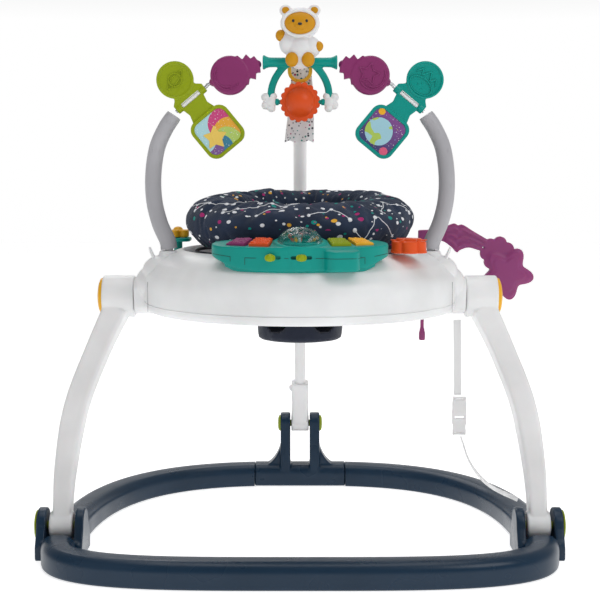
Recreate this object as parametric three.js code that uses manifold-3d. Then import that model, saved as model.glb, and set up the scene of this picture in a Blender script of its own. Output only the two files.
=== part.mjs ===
// Activity jumper: a folding floor frame that carries a round play tray, a sprung
// seat that turns, and a toy arch. Millimetres, +Z up, the child faces -Y.
// The origin is on the floor, at the middle of the footprint.
import * as THREE from 'three';
import { mergeVertices } from 'three/addons/utils/BufferGeometryUtils.js';
import Module from 'manifold-3d';

const wasm = await Module();
wasm.setup();

// ---------------------------------------------------------------- dimensions
const GAP = 0.3; // clearance between faces that touch on the real object

// Floor ring: a superellipse, short in front of the feet and long behind them.
const RING = { halfWidth: 365, front: 165.5, rear: 459.5, width: 50, height: 40 };
const FOOT = { x: 365, y: -147, z: 45, half: 36, eye: 21, slot: 22, reach: 42 };
const REAR = { y: 312.5, z: 115, block: 84, earIn: 18, earOut: 36 };
const PIN_R = 6;

// Side legs run from the foot pivot up to the tray hub and lean back.
const HUB = { y: -47, z: 388, inner: 260, outer: 311, r: 33 };
const LEG_LENGTH = Math.hypot(HUB.y - FOOT.y, HUB.z - FOOT.z);
const LEG_LEAN = Math.atan2(HUB.y - FOOT.y, HUB.z - FOOT.z);
const LEG = { width: 36, depth: 28 };

// The rear leg leans forward from the ring to a bracket on the tray.
const TOP_PIVOT = { y: 234, z: 395 };
const REAR_LENGTH = Math.hypot(TOP_PIVOT.y - REAR.y, TOP_PIVOT.z - REAR.z);
const REAR_LEAN = Math.atan2(REAR.y - TOP_PIVOT.y, TOP_PIVOT.z - REAR.z);

// Tray, seen from above: a ring round the seat opening, centred on the hubs.
const TRAY = {
  outer: 245, opening: 182, floor: 370, rim: 428, crown: 464, wall: 3.5,
  stretch: 1.06, facets: 36,
};
const STUB_R = 28;
const AXLE_R = 8;

// Seat, centred on the tray.
const SEAT = { padMid: 132, padTube: 44, padBase: 458, padTop: 548, ledge: 160 };
const SPRING = { base: 377.5, top: 429.5, r: 10, wire: 1.6, turns: 4 };
const SLING = { top: 452, bottom: 323, wall: 5, mouth: 112, base: 62 };

// Toy arch, in one upright plane.
const ARCH_Y = -87;
const ARM_R = 12.5;
const ROD_R = 2.6;
const CHARM = { from: [-190, 676], to: [-144, 714] };
const BEAD = { from: [-138, 719], to: [-60, 750] };
const BAR = { z: 751, half: 57, r: 8, flange: 12 };
const SUN = { z: 691, r: 24, rim: 31 };

// Tray toys.
const FLOWER = { x: -200, y: 40, z: 470 };
const ROLLER = { x: 160, y: -195 };
const TEETHER = { x: 204, y: 66, z: 480, peg: 3.2, foot: 303 };

const COLOURS = {
  navy: 0x24394c, white: 0xf1f1f0, grey: 0xa9a8ae, lime: 0x9cb82a, teal: 0x049583,
  yellow: 0xf2b01e, purple: 0x8a2f6d, orange: 0xf2602b, steel: 0xc9ccd0,
  fabric: 0x263248, ochre: 0xd9991a, clear: 0xdfeef2, picture: 0x56408a, sky: 0xa4d3dd,
};

// ------------------------------------------------------------------- helpers
function solid(geometry) {
  const bare = geometry.index ? geometry.toNonIndexed() : geometry.clone();
  bare.deleteAttribute('normal');
  bare.deleteAttribute('uv');
  const merged = mergeVertices(bare, 1e-3);
  const triangles = [];
  for (let i = 0; i < merged.index.count; i += 3) {
    const [a, b, c] = [0, 1, 2].map((k) => merged.index.getX(i + k));
    if (a !== b && b !== c && c !== a) triangles.push(a, b, c);
  }
  return new wasm.Manifold(new wasm.Mesh({
    numProp: 3,
    vertProperties: new Float32Array(merged.attributes.position.array),
    triVerts: new Uint32Array(triangles),
  }));
}

function geometryOf(body) {
  const mesh = body.getMesh();
  const geometry = new THREE.BufferGeometry();
  geometry.setAttribute('position', new THREE.BufferAttribute(new Float32Array(mesh.vertProperties), 3));
  geometry.setIndex(new THREE.BufferAttribute(new Uint32Array(mesh.triVerts), 1));
  return geometry;
}

function join(first, ...others) {
  return geometryOf(others.reduce((sum, other) => sum.add(solid(other)), solid(first)));
}

function cut(first, ...tools) {
  return geometryOf(tools.reduce((rest, tool) => rest.subtract(solid(tool)), solid(first)));
}

function roundedRect(width, height, radius) {
  const [w, h, r] = [width / 2, height / 2, radius];
  const shape = new THREE.Shape();
  shape.moveTo(-w + r, -h);
  shape.lineTo(w - r, -h);
  shape.absarc(w - r, -h + r, r, -Math.PI / 2, 0);
  shape.absarc(w - r, h - r, r, 0, Math.PI / 2);
  shape.absarc(-w + r, h - r, r, Math.PI / 2, Math.PI);
  shape.absarc(-w + r, -h + r, r, Math.PI, 1.5 * Math.PI);
  return shape;
}

function circle(radius) {
  const shape = new THREE.Shape();
  shape.absarc(0, 0, radius, 0, 2 * Math.PI);
  return shape;
}

function sweep(shape, curve, steps, curveSegments = 3) {
  return new THREE.ExtrudeGeometry(shape, { extrudePath: curve, steps, curveSegments, bevelEnabled: false });
}

// A slab of the given thickness from a shape drawn in X and Z, centred on y = 0.
function upright(shape, thickness, curveSegments = 8) {
  const slab = new THREE.ExtrudeGeometry(shape, { depth: thickness, curveSegments, bevelEnabled: false });
  return slab.rotateX(Math.PI / 2).translate(0, thickness / 2, 0);
}

// A slab from a shape drawn in Y and Z, running along X from x0 to x1.
function across(shape, x0, x1, curveSegments = 8) {
  const slab = new THREE.ExtrudeGeometry(shape, { depth: x1 - x0, curveSegments, bevelEnabled: false });
  return slab.rotateZ(Math.PI / 2).rotateY(Math.PI / 2).translate(x0, 0, 0);
}

function barX(radius, x0, x1, segments = 20) {
  return new THREE.CylinderGeometry(radius, radius, x1 - x0, segments)
    .rotateZ(Math.PI / 2).translate((x0 + x1) / 2, 0, 0);
}

function barZ(radius, z0, z1, segments = 20) {
  return new THREE.CylinderGeometry(radius, radius, z1 - z0, segments)
    .rotateX(Math.PI / 2).translate(0, 0, (z0 + z1) / 2);
}

function turned(points, segments) {
  const profile = points.map(([r, z]) => new THREE.Vector2(r, z));
  if (THREE.ShapeUtils.area(profile) < 0) profile.reverse();
  return new THREE.LatheGeometry(profile, segments).rotateX(Math.PI / 2);
}

function ringOf(r0, r1, z0, z1, segments = 36) {
  return turned([[r0, z0], [r1, z0], [r1, z1], [r0, z1], [r0, z0]], segments);
}

function ball(rx, ry, rz, detail = 9) {
  return new THREE.SphereGeometry(1, detail, Math.round(detail * 0.7)).scale(rx, ry, rz);
}

function along(points) {
  return new THREE.CatmullRomCurve3(points.map((p) => new THREE.Vector3(...p)));
}

const jumper = new THREE.Group();

function part(name, geometry, colour, { at = [0, 0, 0], turn = [0, 0, 0], rough = 0.45, metal = 0 } = {}) {
  const material = new THREE.MeshStandardMaterial({ color: colour, roughness: rough, metalness: metal });
  const mesh = new THREE.Mesh(geometry, material);
  mesh.name = name;
  mesh.position.set(...at);
  mesh.rotation.set(...turn);
  jumper.add(mesh);
  return mesh;
}

const SIDES = [['left', -1], ['right', 1]];

// ---------------------------------------------------------------- floor ring
class RingCurve extends THREE.Curve {
  constructor(depth, power, fromAngle, toAngle) {
    super();
    Object.assign(this, { depth, power, fromAngle, toAngle });
  }

  getPoint(t, target = new THREE.Vector3()) {
    const angle = THREE.MathUtils.lerp(this.fromAngle, this.toAngle, t);
    const stretch = (v) => Math.sign(v) * Math.abs(v) ** (2 / this.power);
    const x = RING.halfWidth * stretch(Math.cos(angle));
    return target.set(x, FOOT.y + this.depth * stretch(Math.sin(angle)), RING.height / 2);
  }
}

const FRONT_POWER = 3.6;
const REAR_POWER = 2.7;

function railSection() {
  // Drawn with X down and Y across the rail: a flat foot and a domed back.
  const [h, w, foot, crown] = [RING.height / 2, RING.width / 2, 5, 17];
  const shape = new THREE.Shape();
  shape.moveTo(h, -w + foot);
  shape.lineTo(h, w - foot);
  shape.lineTo(h - foot, w);
  shape.lineTo(-h + crown, w);
  shape.absarc(-h + crown, w - crown, crown, Math.PI / 2, Math.PI);
  shape.absarc(-h + crown, -w + crown, crown, Math.PI, 1.5 * Math.PI);
  shape.lineTo(h - foot, -w);
  return shape;
}

function buildRing() {
  // The rails run a little into their neighbours' places and are cut square there.
  const inset = 12;
  const frontEnd = Math.asin(((FOOT.reach - inset) / RING.front) ** (FRONT_POWER / 2));
  const rearEnd = Math.asin(((FOOT.reach - inset) / RING.rear) ** (REAR_POWER / 2));
  const rearMid = Math.acos(((REAR.block - inset) / RING.halfWidth) ** (REAR_POWER / 2));
  const feet = new THREE.BoxGeometry(900, 2 * (FOOT.reach + GAP), 90).translate(0, FOOT.y, 0);
  const middle = new THREE.BoxGeometry(2 * (REAR.block + GAP), 200, 90).translate(0, REAR.y, 0);
  const front = new RingCurve(RING.front, FRONT_POWER, -Math.PI + frontEnd, -frontEnd);
  part('base_front_rail', cut(sweep(railSection(), front, 30, 2), feet), COLOURS.navy);
  const right = new RingCurve(RING.rear, REAR_POWER, rearEnd, rearMid);
  const left = new RingCurve(RING.rear, REAR_POWER, Math.PI - rearMid, Math.PI - rearEnd);
  part('base_rear_right_rail', cut(sweep(railSection(), right, 18, 2), feet, middle), COLOURS.navy);
  part('base_rear_left_rail', cut(sweep(railSection(), left, 18, 2), feet, middle), COLOURS.navy);
}

function buildFeet() {
  const cheek = new THREE.Shape();
  cheek.moveTo(-FOOT.reach, 0);
  cheek.lineTo(FOOT.reach, 0);
  cheek.lineTo(FOOT.reach, 22);
  cheek.absarc(0, FOOT.z, 27, 0, Math.PI);
  cheek.lineTo(-FOOT.reach, 22);
  for (const [side, sign] of SIDES) {
    const block = across(cheek, -FOOT.half, FOOT.half);
    const slot = new THREE.BoxGeometry(2 * FOOT.slot, 120, 100).translate(0, 0, 62);
    const bore = barX(PIN_R + GAP, -50, 50, 16).translate(0, 0, FOOT.z);
    part(`${side}_foot_hub`, cut(block, slot, bore), COLOURS.navy, { at: [sign * FOOT.x, FOOT.y, 0] });
    // The pivot pin and its wide cap are one moulding.
    const pin = turned([
      [0, -2 * FOOT.half + 2], [PIN_R, -2 * FOOT.half + 2], [PIN_R, GAP],
    [23, GAP], [23, 2], [18, 4.6], [0, 6],
    ], 16).rotateY(sign * Math.PI / 2);
    part(`${side}_foot_pin`, pin, COLOURS.lime, { at: [sign * (FOOT.x + FOOT.half), FOOT.y, FOOT.z] });
  }
}

function buildRearBracket() {
  const straight = new THREE.LineCurve3(
    new THREE.Vector3(-REAR.block, REAR.y, RING.height / 2),
    new THREE.Vector3(REAR.block, REAR.y, RING.height / 2),
  );
  const ear = new THREE.Shape();
  ear.moveTo(-25, 18);
  ear.lineTo(25, 18);
  ear.lineTo(20, REAR.z);
  ear.absarc(0, REAR.z, 20, 0, Math.PI);
  const gusset = new THREE.Shape();
  gusset.moveTo(REAR.earOut - 2, 20);
  gusset.lineTo(REAR.block - 8, 34);
  gusset.quadraticCurveTo(REAR.earOut + 8, 44, REAR.earOut - 2, 96);
  const pieces = [];
  for (const sign of [-1, 1]) {
    const [x0, x1] = sign > 0 ? [REAR.earIn, REAR.earOut] : [-REAR.earOut, -REAR.earIn];
    pieces.push(across(ear, x0, x1).translate(0, REAR.y, 0));
    const web = upright(gusset, 30, 5).translate(0, REAR.y, 0);
    pieces.push(sign > 0 ? web : web.rotateZ(Math.PI).translate(0, 2 * REAR.y, 0));
  }
  const bracket = join(sweep(railSection(), straight, 1, 2), ...pieces);
  const bore = barX(PIN_R + GAP, -60, 60, 16).translate(0, REAR.y, REAR.z);
  part('rear_bracket', cut(bracket, bore), COLOURS.navy);
  const seat = REAR.earOut + GAP;
  const pin = turned([
    [0, -seat - 4], [11, -seat - 3], [15, -seat - 1.5], [15, -seat], [PIN_R, -seat],
    [PIN_R, seat], [15, seat], [15, seat + 1.5], [11, seat + 3], [0, seat + 4],
  ], 12).rotateY(Math.PI / 2);
  part('rear_bracket_pin', pin, COLOURS.lime, { at: [0, REAR.y, REAR.z] });
}

// ---------------------------------------------------------------------- legs
function buildLegs() {
  const hubMid = (HUB.inner + HUB.outer) / 2;
  for (const [side, sign] of SIDES) {
    const shaft = sweep(roundedRect(LEG.depth, LEG.width, 8), along([
      [sign * FOOT.x, 0, 0], [sign * (FOOT.x - 2), 0, 80], [sign * (FOOT.x - 16), 0, 180],
      [sign * (FOOT.x - 45), 0, 265], [sign * (hubMid + 4), 0, LEG_LENGTH - 22],
    ]), 9, 1);
    const eye = barX(FOOT.eye, -LEG.width / 2, LEG.width / 2, 18).translate(sign * FOOT.x, 0, 0);
    const hub = barX(HUB.r, HUB.inner + GAP, HUB.outer, 24);
    const recess = barX(HUB.r - 3, HUB.outer - 9, HUB.outer + 5, 20);
    const axle = barX(AXLE_R + GAP, HUB.inner - 5, HUB.outer + 5, 12);
    for (const piece of [hub, recess, axle]) {
      if (sign < 0) piece.rotateZ(Math.PI);
      piece.translate(0, 0, LEG_LENGTH);
    }
    const pin = barX(PIN_R + 2 * GAP, -60, 60, 12).translate(sign * FOOT.x, 0, 0);
    part(`${side}_leg`, cut(join(shaft, eye, hub), recess, axle, pin), COLOURS.white,
      { at: [0, FOOT.y, FOOT.z], turn: [-LEG_LEAN, 0, 0], rough: 0.35 });
    const button = turned([[0, -4], [HUB.r - 4, -4], [HUB.r - 4, 3], [24, 6.5], [0, 9]], 20)
      .rotateY(sign * Math.PI / 2);
    part(`${side}_fold_button`, button, COLOURS.yellow, { at: [sign * HUB.outer, HUB.y, HUB.z], rough: 0.3 });
  }
}

function buildRearLeg() {
  const frame = { at: [0, REAR.y, REAR.z], turn: [REAR_LEAN, 0, 0], rough: 0.35 };
  const body = slab(roundedRect(31, 26, 7), 0, 84, 3);
  const sleeve = join(body, barX(15, -16, 16, 24));
  const sleeveBore = barZ(10 + GAP, 24, 90, 20);
  const latchSeat = new THREE.BoxGeometry(6, 12, 34).translate(-14.2, 0, 62);
  const pinBore = barX(PIN_R + GAP, -30, 30, 16);
  part('rear_sleeve', cut(sleeve, sleeveBore, pinBore, latchSeat), COLOURS.white, frame);
  const post = join(barZ(10, 25, REAR_LENGTH - 6, 20), barX(12, -9, 9, 20).translate(0, 0, REAR_LENGTH));
  const eye = barX(5 + GAP, -20, 20, 14).translate(0, 0, REAR_LENGTH);
  part('rear_leg_post', cut(post, eye), COLOURS.white, frame);
  const lever = new THREE.Shape();
  lever.moveTo(-14.8, 48);
  lever.lineTo(-11.6, 48);
  lever.lineTo(-11.6, 76);
  lever.lineTo(-19.5, 76);
  lever.lineTo(-19.5, 71);
  lever.lineTo(-14.8, 66);
  part('rear_latch', upright(lever, 10, 2), COLOURS.white, frame);
}

// ---------------------------------------------------------------------- tray
function trayTopAt(r) {
  const t = THREE.MathUtils.clamp((r - TRAY.opening) / (TRAY.outer - TRAY.opening), 0, 1);
  return TRAY.crown - (TRAY.crown - TRAY.rim) * t ** 1.7;
}

function trayOutline(drop) {
  const points = [];
  for (const r of [TRAY.opening, 204, 226, TRAY.outer - 8]) points.push([r, trayTopAt(r) - drop]);
  return points;
}

function onTray(geometry) {
  return geometry.scale(1, TRAY.stretch, 1).translate(0, HUB.y, 0);
}

// Everything under the tray's top face, raised a little, for cutting what stands on it.
function underTray() {
  const top = trayOutline(-GAP).reverse();
  const [inside, outside, below] = [100, TRAY.outer + 17, TRAY.floor + 10];
  return onTray(turned([
    [inside, below], [outside, below], [outside, TRAY.rim - 6], ...top, [inside, TRAY.crown], [inside, below],
  ], TRAY.facets));
}

function buildTray() {
  const { outer, opening, floor, wall } = TRAY;
  const outside = trayOutline(0);
  const inside = trayOutline(wall).reverse();
  inside.pop();
  const rim = [[outer - 3, TRAY.rim - 4], [outer, TRAY.rim - 14], [outer, floor + 6], [outer - 3, floor]];
  const liner = [[outer - 6.5, floor], [outer - wall, floor + 8], [outer - wall, TRAY.rim - 15]];
  const throat = [
    [opening + wall, TRAY.crown - wall], [opening + wall, floor + 6],
    [opening, floor + 6], [opening, TRAY.crown],
  ];
  const shell = onTray(turned([...outside, ...rim, ...liner, ...inside, ...throat], TRAY.facets));
  const fittings = [];
  for (const [, sign] of SIDES) {
    const stub = barX(STUB_R, outer - 12, HUB.inner - GAP, 20);
    const trunnion = barX(AXLE_R, HUB.inner - 2, HUB.outer - 12, 12);
    for (const piece of [stub, trunnion]) {
      fittings.push((sign > 0 ? piece : piece.rotateZ(Math.PI)).translate(0, HUB.y, HUB.z));
    }
    fittings.push(barZ(16, 440, 463, 12).translate(sign * 203, ARCH_Y, 0));
    fittings.push(new THREE.BoxGeometry(4, 16, 30).rotateY(sign * 0.35).translate(sign * 226, ARCH_Y, 446));
  }
  fittings.push(barZ(9, 444, 466, 10).translate(ROLLER.x, ROLLER.y, 0));
  fittings.push(barZ(9, 405, 452, 10).translate(TEETHER.x, TEETHER.y, 0));
  const teetherBore = barZ(TEETHER.peg + 2 * GAP, floor - 10, 470, 10).translate(TEETHER.x, TEETHER.y, 0);
  part('tray_top', cut(join(shell, ...fittings), teetherBore), COLOURS.white, { rough: 0.3 });
  // The lower shell: a floor with a raised lip inside, under the springs.
  const [lip, edge] = [140, outer - 30];
  const under = floor + 2;
  const lower = turned([
    [lip, under], [edge, under], [edge, under + wall], [lip + 4, under + wall],
    [lip + 4, under + 10], [lip, under + 10], [lip, under],
  ], 32);
  part('tray_bottom', onTray(lower), COLOURS.white, { rough: 0.5 });
  buildTrayRear();
}

function buildTrayRear() {
  const { y, z } = TOP_PIVOT;
  const edge = HUB.y + TRAY.outer * TRAY.stretch + GAP;
  const plate = new THREE.BoxGeometry(56, 5, 54).translate(0, edge + 2.5, z + 8);
  const bridge = new THREE.BoxGeometry(44, 32, 11).translate(0, edge + 18, z + 29.5);
  const ear = new THREE.Shape();
  ear.moveTo(edge + 2, z + 25);
  ear.lineTo(edge + 2, z - 11);
  ear.absarc(y, z, 11, -Math.PI / 2, 0);
  ear.lineTo(y + 14, z + 25);
  const ears = [across(ear, 12, 20, 4), across(ear, -20, -12, 4)];
  const pin = barX(4.6, -14, 14, 16).translate(0, y, z);
  part('rear_socket', join(plate, bridge, ...ears, pin), COLOURS.white, { rough: 0.4 });
  const stem = along([
    [0, y, z + 35.6], [0, y + 2, 500], [0, y - 6, 600], [0, y - 70, 692], [0, y - 190, 748],
    [0, ARCH_Y + 22, 763],
  ]);
  part('toy_post', sweep(circle(11.5), stem, 12, 3), COLOURS.white, { rough: 0.4 });
}

// ---------------------------------------------------------------------- seat
function buildSeat() {
  const at = { at: [0, HUB.y, 0] };
  part('seat_carrier', ringOf(146, 173, 431, 439), COLOURS.white, at);
  for (let i = 0; i < 3; i += 1) {
    const angle = Math.PI / 2 + (i * 2 * Math.PI) / 3;
    part(`spring_${i + 1}`, buildSpring(), COLOURS.steel,
      { at: [SEAT.ledge * Math.cos(angle), HUB.y + SEAT.ledge * Math.sin(angle), 0], rough: 0.3, metal: 1 });
  }
  const seatRing = turned([[118, 440], [168, 440], [168, 450], [118, 456], [118, 440]], 28);
  part('seat_ring', seatRing, COLOURS.white, at);
  part('seat_pad', buildPad(), COLOURS.fabric, { ...at, rough: 0.9 });
  part('seat_sling', buildSling(), COLOURS.fabric, { ...at, rough: 0.9 });
}

function buildSpring() {
  const { base, top, r, wire, turns } = SPRING;
  const points = [];
  const perTurn = 7;
  for (let i = 0; i <= turns * perTurn; i += 1) {
    const angle = (i / perTurn) * 2 * Math.PI;
    const z = THREE.MathUtils.lerp(base + wire, top - wire, i / (turns * perTurn));
    points.push([r * Math.cos(angle), r * Math.sin(angle), z]);
  }
  return sweep(circle(wire), along(points), turns * perTurn, 1.5);
}

function buildPad() {
  const { padMid, padTube, padBase, padTop } = SEAT;
  const rows = [];
  const sides = 10;
  for (let i = 0; i <= sides; i += 1) {
    const angle = (i / sides) * 2 * Math.PI;
    const z = (padBase + padTop) / 2 + ((padTop - padBase) / 2) * Math.sin(angle);
    rows.push([padMid + padTube * Math.cos(angle), z]);
  }
  return turned(rows, 28);
}

function buildSling() {
  const { top, bottom, wall, mouth, base } = SLING;
  const cup = turned([
    [0, bottom], [base, bottom], [base + 10, bottom + 34], [mouth, top - 70], [mouth, top],
    [mouth - wall, top], [mouth - wall, top - 68], [base + 4, bottom + 36],
    [base - 6, bottom + wall], [0, bottom + wall],
  ], 20);
  const hole = barX(36, 20, 200, 12).translate(0, 0, 372);
  return cut(cup, hole.clone().rotateZ(-Math.PI / 2 + 0.62), hole.clone().rotateZ(-Math.PI / 2 - 0.62));
}

// ------------------------------------------------------------------- console
const CONSOLE = { inner: 188, outer: 230, half: 0.56, top: 484, lobeR: 26, lobeX: 58, lobeY: -222 };
const DOME = { y: -217, seatR: 32, r: 29.5, sunk: 8 };
const KEY = { inner: 197, outer: 223, travel: 2 };
const SLIDER = { xs: [-42, 2], y: -243, drop: 18, r: 5.2 };

// A plan shape between two arcs about the seat, drawn in X and Y.
function fan(r0, r1, from, to) {
  const shape = new THREE.Shape();
  shape.absarc(0, 0, r1, from - Math.PI / 2, to - Math.PI / 2, false);
  shape.absarc(0, 0, r0, to - Math.PI / 2, from - Math.PI / 2, true);
  return shape;
}

function slab(shape, z0, z1, curveSegments = 7) {
  const geometry = new THREE.ExtrudeGeometry(shape, { depth: z1 - z0, curveSegments, bevelEnabled: false });
  return geometry.translate(0, 0, z0);
}

function buildConsole() {
  const { inner, outer, half, top, lobeR, lobeX, lobeY } = CONSOLE;
  const base = onTray(slab(fan(inner, outer, -half, half), 438, top));
  const lobes = [-lobeX, lobeX].map((x) => barZ(lobeR, 438, top, 14).translate(x, HUB.y + lobeY, 0));
  const domeY = HUB.y + DOME.y;
  const domeSeat = barZ(DOME.seatR + 3, 452, top, 22).translate(0, domeY, 0);
  const domeWell = barZ(DOME.seatR - 1, top - DOME.sunk, top + 5, 20).translate(0, domeY, 0);
  const spans = { purple: [-0.5, -0.36], orange: [-0.34, -0.2], lime: [0.2, 0.34], yellow: [0.36, 0.5] };
  const wells = Object.values(spans)
    .map(([from, to]) => onTray(slab(fan(KEY.inner, KEY.outer, from, to), top - 8, top + 4)));
  const tracks = SLIDER.xs
    .map((x) => new THREE.BoxGeometry(28, 14, 12).translate(x, HUB.y + SLIDER.y, top - SLIDER.drop));
  const body = cut(join(base, ...lobes, domeSeat), underTray(), domeWell, ...wells, ...tracks);
  part('console', body, COLOURS.teal, { rough: 0.4 });
  for (const [name, [from, to]] of Object.entries(spans)) {
    const key = slab(fan(KEY.inner + 1, KEY.outer - 1, from + 0.006, to - 0.006), top - 4.5, top + 3);
    part(`key_${name}`, onTray(key), COLOURS[name], { rough: 0.35 });
  }
  const dome = turned(domeProfile(), 20);
  part('dome', dome, COLOURS.clear, { at: [0, domeY, top - DOME.sunk + GAP], rough: 0.1 });
  SLIDER.xs.forEach((x, i) => {
    const knob = new THREE.SphereGeometry(SLIDER.r, 10, 6);
    part(`slider_${i + 1}`, knob, COLOURS.lime, { at: [x, HUB.y + SLIDER.y, top - SLIDER.drop], rough: 0.3 });
  });
}

// A thin hemisphere, open below.
function domeProfile() {
  const steps = 5;
  const arc = (r) => Array.from({ length: steps + 1 }, (_, i) => {
    const angle = (i / steps) * (Math.PI / 2);
    return [r * Math.sin(angle), r * Math.cos(angle)];
  });
  return [...arc(DOME.r), ...arc(DOME.r - 2).reverse()];
}

// ----------------------------------------------------------------- tray toys
function petals(count, inner, outer) {
  const shape = new THREE.Shape();
  const steps = count * 5;
  for (let i = 0; i < steps; i += 1) {
    const angle = (i / steps) * 2 * Math.PI;
    const r = inner + (outer - inner) * Math.abs(Math.sin((count * angle) / 2));
    if (i === 0) shape.moveTo(r, 0);
    else shape.lineTo(r * Math.cos(angle), r * Math.sin(angle));
  }
  return shape;
}

function buildTrayToys() {
  const at = [FLOWER.x, FLOWER.y, FLOWER.z];
  const [leaf, seat, top] = [7, 7 + GAP, 19];
  const stem = join(
    cut(barZ(7, -30, 2, 16).translate(...at), underTray()),
    slab(petals(3, 14, 26), 0, leaf, 2).translate(...at),
    barZ(2.6, leaf - 1, top - 3, 12).translate(...at),
  );
  part('flower_stem', stem, COLOURS.teal);
  const blossom = cut(slab(petals(5, 10, 19), seat, top, 2), barZ(3, -4, top - 2.6, 12));
  part('flower', blossom, COLOURS.yellow, { at });
  part('roller', slab(petals(6, 20, 27), 466.3, 488, 2), COLOURS.orange, { at: [ROLLER.x, ROLLER.y, 0] });
}

// A soft shooting star on a long peg that passes down through the tray and ends in a stop.
function buildTeether() {
  const star = new THREE.Shape();
  const steps = 40;
  for (let i = 0; i < steps; i += 1) {
    const angle = (i / steps) * 2 * Math.PI;
    const r = 37 + 8 * Math.cos(5 * (angle + 1.45));
    const [x, z] = [140 + r * Math.cos(angle), -64 + r * Math.sin(angle)];
    if (i === 0) star.moveTo(x, z);
    else star.lineTo(x, z);
  }
  const cloud = upright(petals(7, 21, 28), 14).translate(124, 0, -32);
  const tail = new THREE.Shape();
  tail.moveTo(-8, 7);
  tail.quadraticCurveTo(26, 8, 58, 17);
  tail.quadraticCurveTo(82, 6, 108, -9);
  tail.lineTo(94, -28);
  tail.quadraticCurveTo(78, -20, 58, -29);
  tail.quadraticCurveTo(44, -9, -8, -9);
  const foot = TEETHER.foot - TEETHER.z;
  const peg = barZ(TEETHER.peg, foot, 0, 12);
  const stop = barZ(TEETHER.peg + 2.3, foot, foot + 20, 12);
  const body = join(upright(star, 18, 2), cloud, upright(tail, 14, 8), peg, stop);
  part('teether', body, COLOURS.purple, { at: [TEETHER.x, TEETHER.y, TEETHER.z], rough: 0.5 });
}

// ----------------------------------------------------------------------- arch
function buildArms() {
  for (const [side, sign] of SIDES) {
    const path = along([
      [203, 465.6], [205, 478], [217, 506], [225, 541], [226, 580], [220, 620], [207, 650], [193, 671],
    ].map(([x, z]) => [sign * x, ARCH_Y, z]));
    part(`${side}_arm`, sweep(circle(ARM_R), path, 18, 3), COLOURS.grey, { rough: 0.6 });
  }
}

function span({ from, to }) {
  const [dx, dz] = [to[0] - from[0], to[1] - from[1]];
  const mid = [(from[0] + to[0]) / 2, (from[1] + to[1]) / 2];
  return { mid, angle: Math.atan2(dz, dx), length: Math.hypot(dx, dz) };
}

function buildArch() {
  const charm = span(CHARM);
  const bead = span(BEAD);
  for (const [side, sign] of SIDES) {
    const wire = along([CHARM.from, charm.mid, CHARM.to, BEAD.from, bead.mid, BEAD.to]
      .map(([x, z]) => [-sign * x, ARCH_Y, z]));
    part(`${side}_arch_rod`, sweep(circle(ROD_R), wire, 14, 2), COLOURS.steel, { rough: 0.25, metal: 1 });
    const colour = sign < 0 ? COLOURS.lime : COLOURS.teal;
    const frame = { at: [-sign * charm.mid[0], ARCH_Y, charm.mid[1]], turn: [0, sign * charm.angle, 0] };
    const wide = charm.length / 2 - 2;
    const disc = new THREE.CylinderGeometry(28.5, 28.5, 11, 22).translate(0, 0, 38);
    const neck = upright(roundedRect(30, 20, 3), 8, 2).translate(0, 0, 13);
    const knuckles = [barX(6.5, -wide, -wide + 10, 10), barX(6.5, wide - 10, wide, 10)];
    const collar = upright(roundedRect(2 * wide, 8, 2), 8, 1).translate(0, 0, 7);
    const strap = upright(roundedRect(34, 34, 3), 7, 2).translate(0, 0, -18);
    const plate = upright(roundedRect(68, 68, 16), 13, 3).translate(0, 0, -64);
    const lower = barX(6.5, -10, 10, 10);
    const well = upright(roundedRect(57, 57, 12), 4, 3).translate(0, -5.5, -64);
    const bore = barX(ROD_R + 1.6, -60, 60, 8);
    const dish = new THREE.CylinderGeometry(24, 24, 4, 18).translate(0, -5, 38);
    const gap = upright(roundedRect(20, 3, 1), 20, 1).translate(0, 0, 8);
    const body = cut(join(disc, neck, collar, ...knuckles, strap, plate, lower), well, bore, dish, gap);
    part(`${side}_charm`, body, colour, { ...frame, rough: 0.4 });
    const picture = upright(roundedRect(56.4, 56.4, 11.7), 1.6, 3).translate(0, -4.4, -64);
    part(`${side}_charm_picture`, picture, COLOURS[sign < 0 ? 'sky' : 'picture'], frame);
    const place = { at: [-sign * bead.mid[0], ARCH_Y, bead.mid[1]], turn: [0, sign * bead.angle, 0] };
    const planet = upright(circle(30), 20, 6).translate(sign * 4, 0, 0);
    const tail = upright(petals(5, 11, 15.5), 16, 2).translate(-sign * 25, 0, 2);
    const tube = barX(7, -bead.length / 2 + 3, bead.length / 2 - 3, 16);
    const rodBore = barX(ROD_R + 2, -80, 80, 12);
    part(`${side}_spinner`, cut(join(planet, tail, tube), rodBore), COLOURS.purple, place);
  }
}

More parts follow.
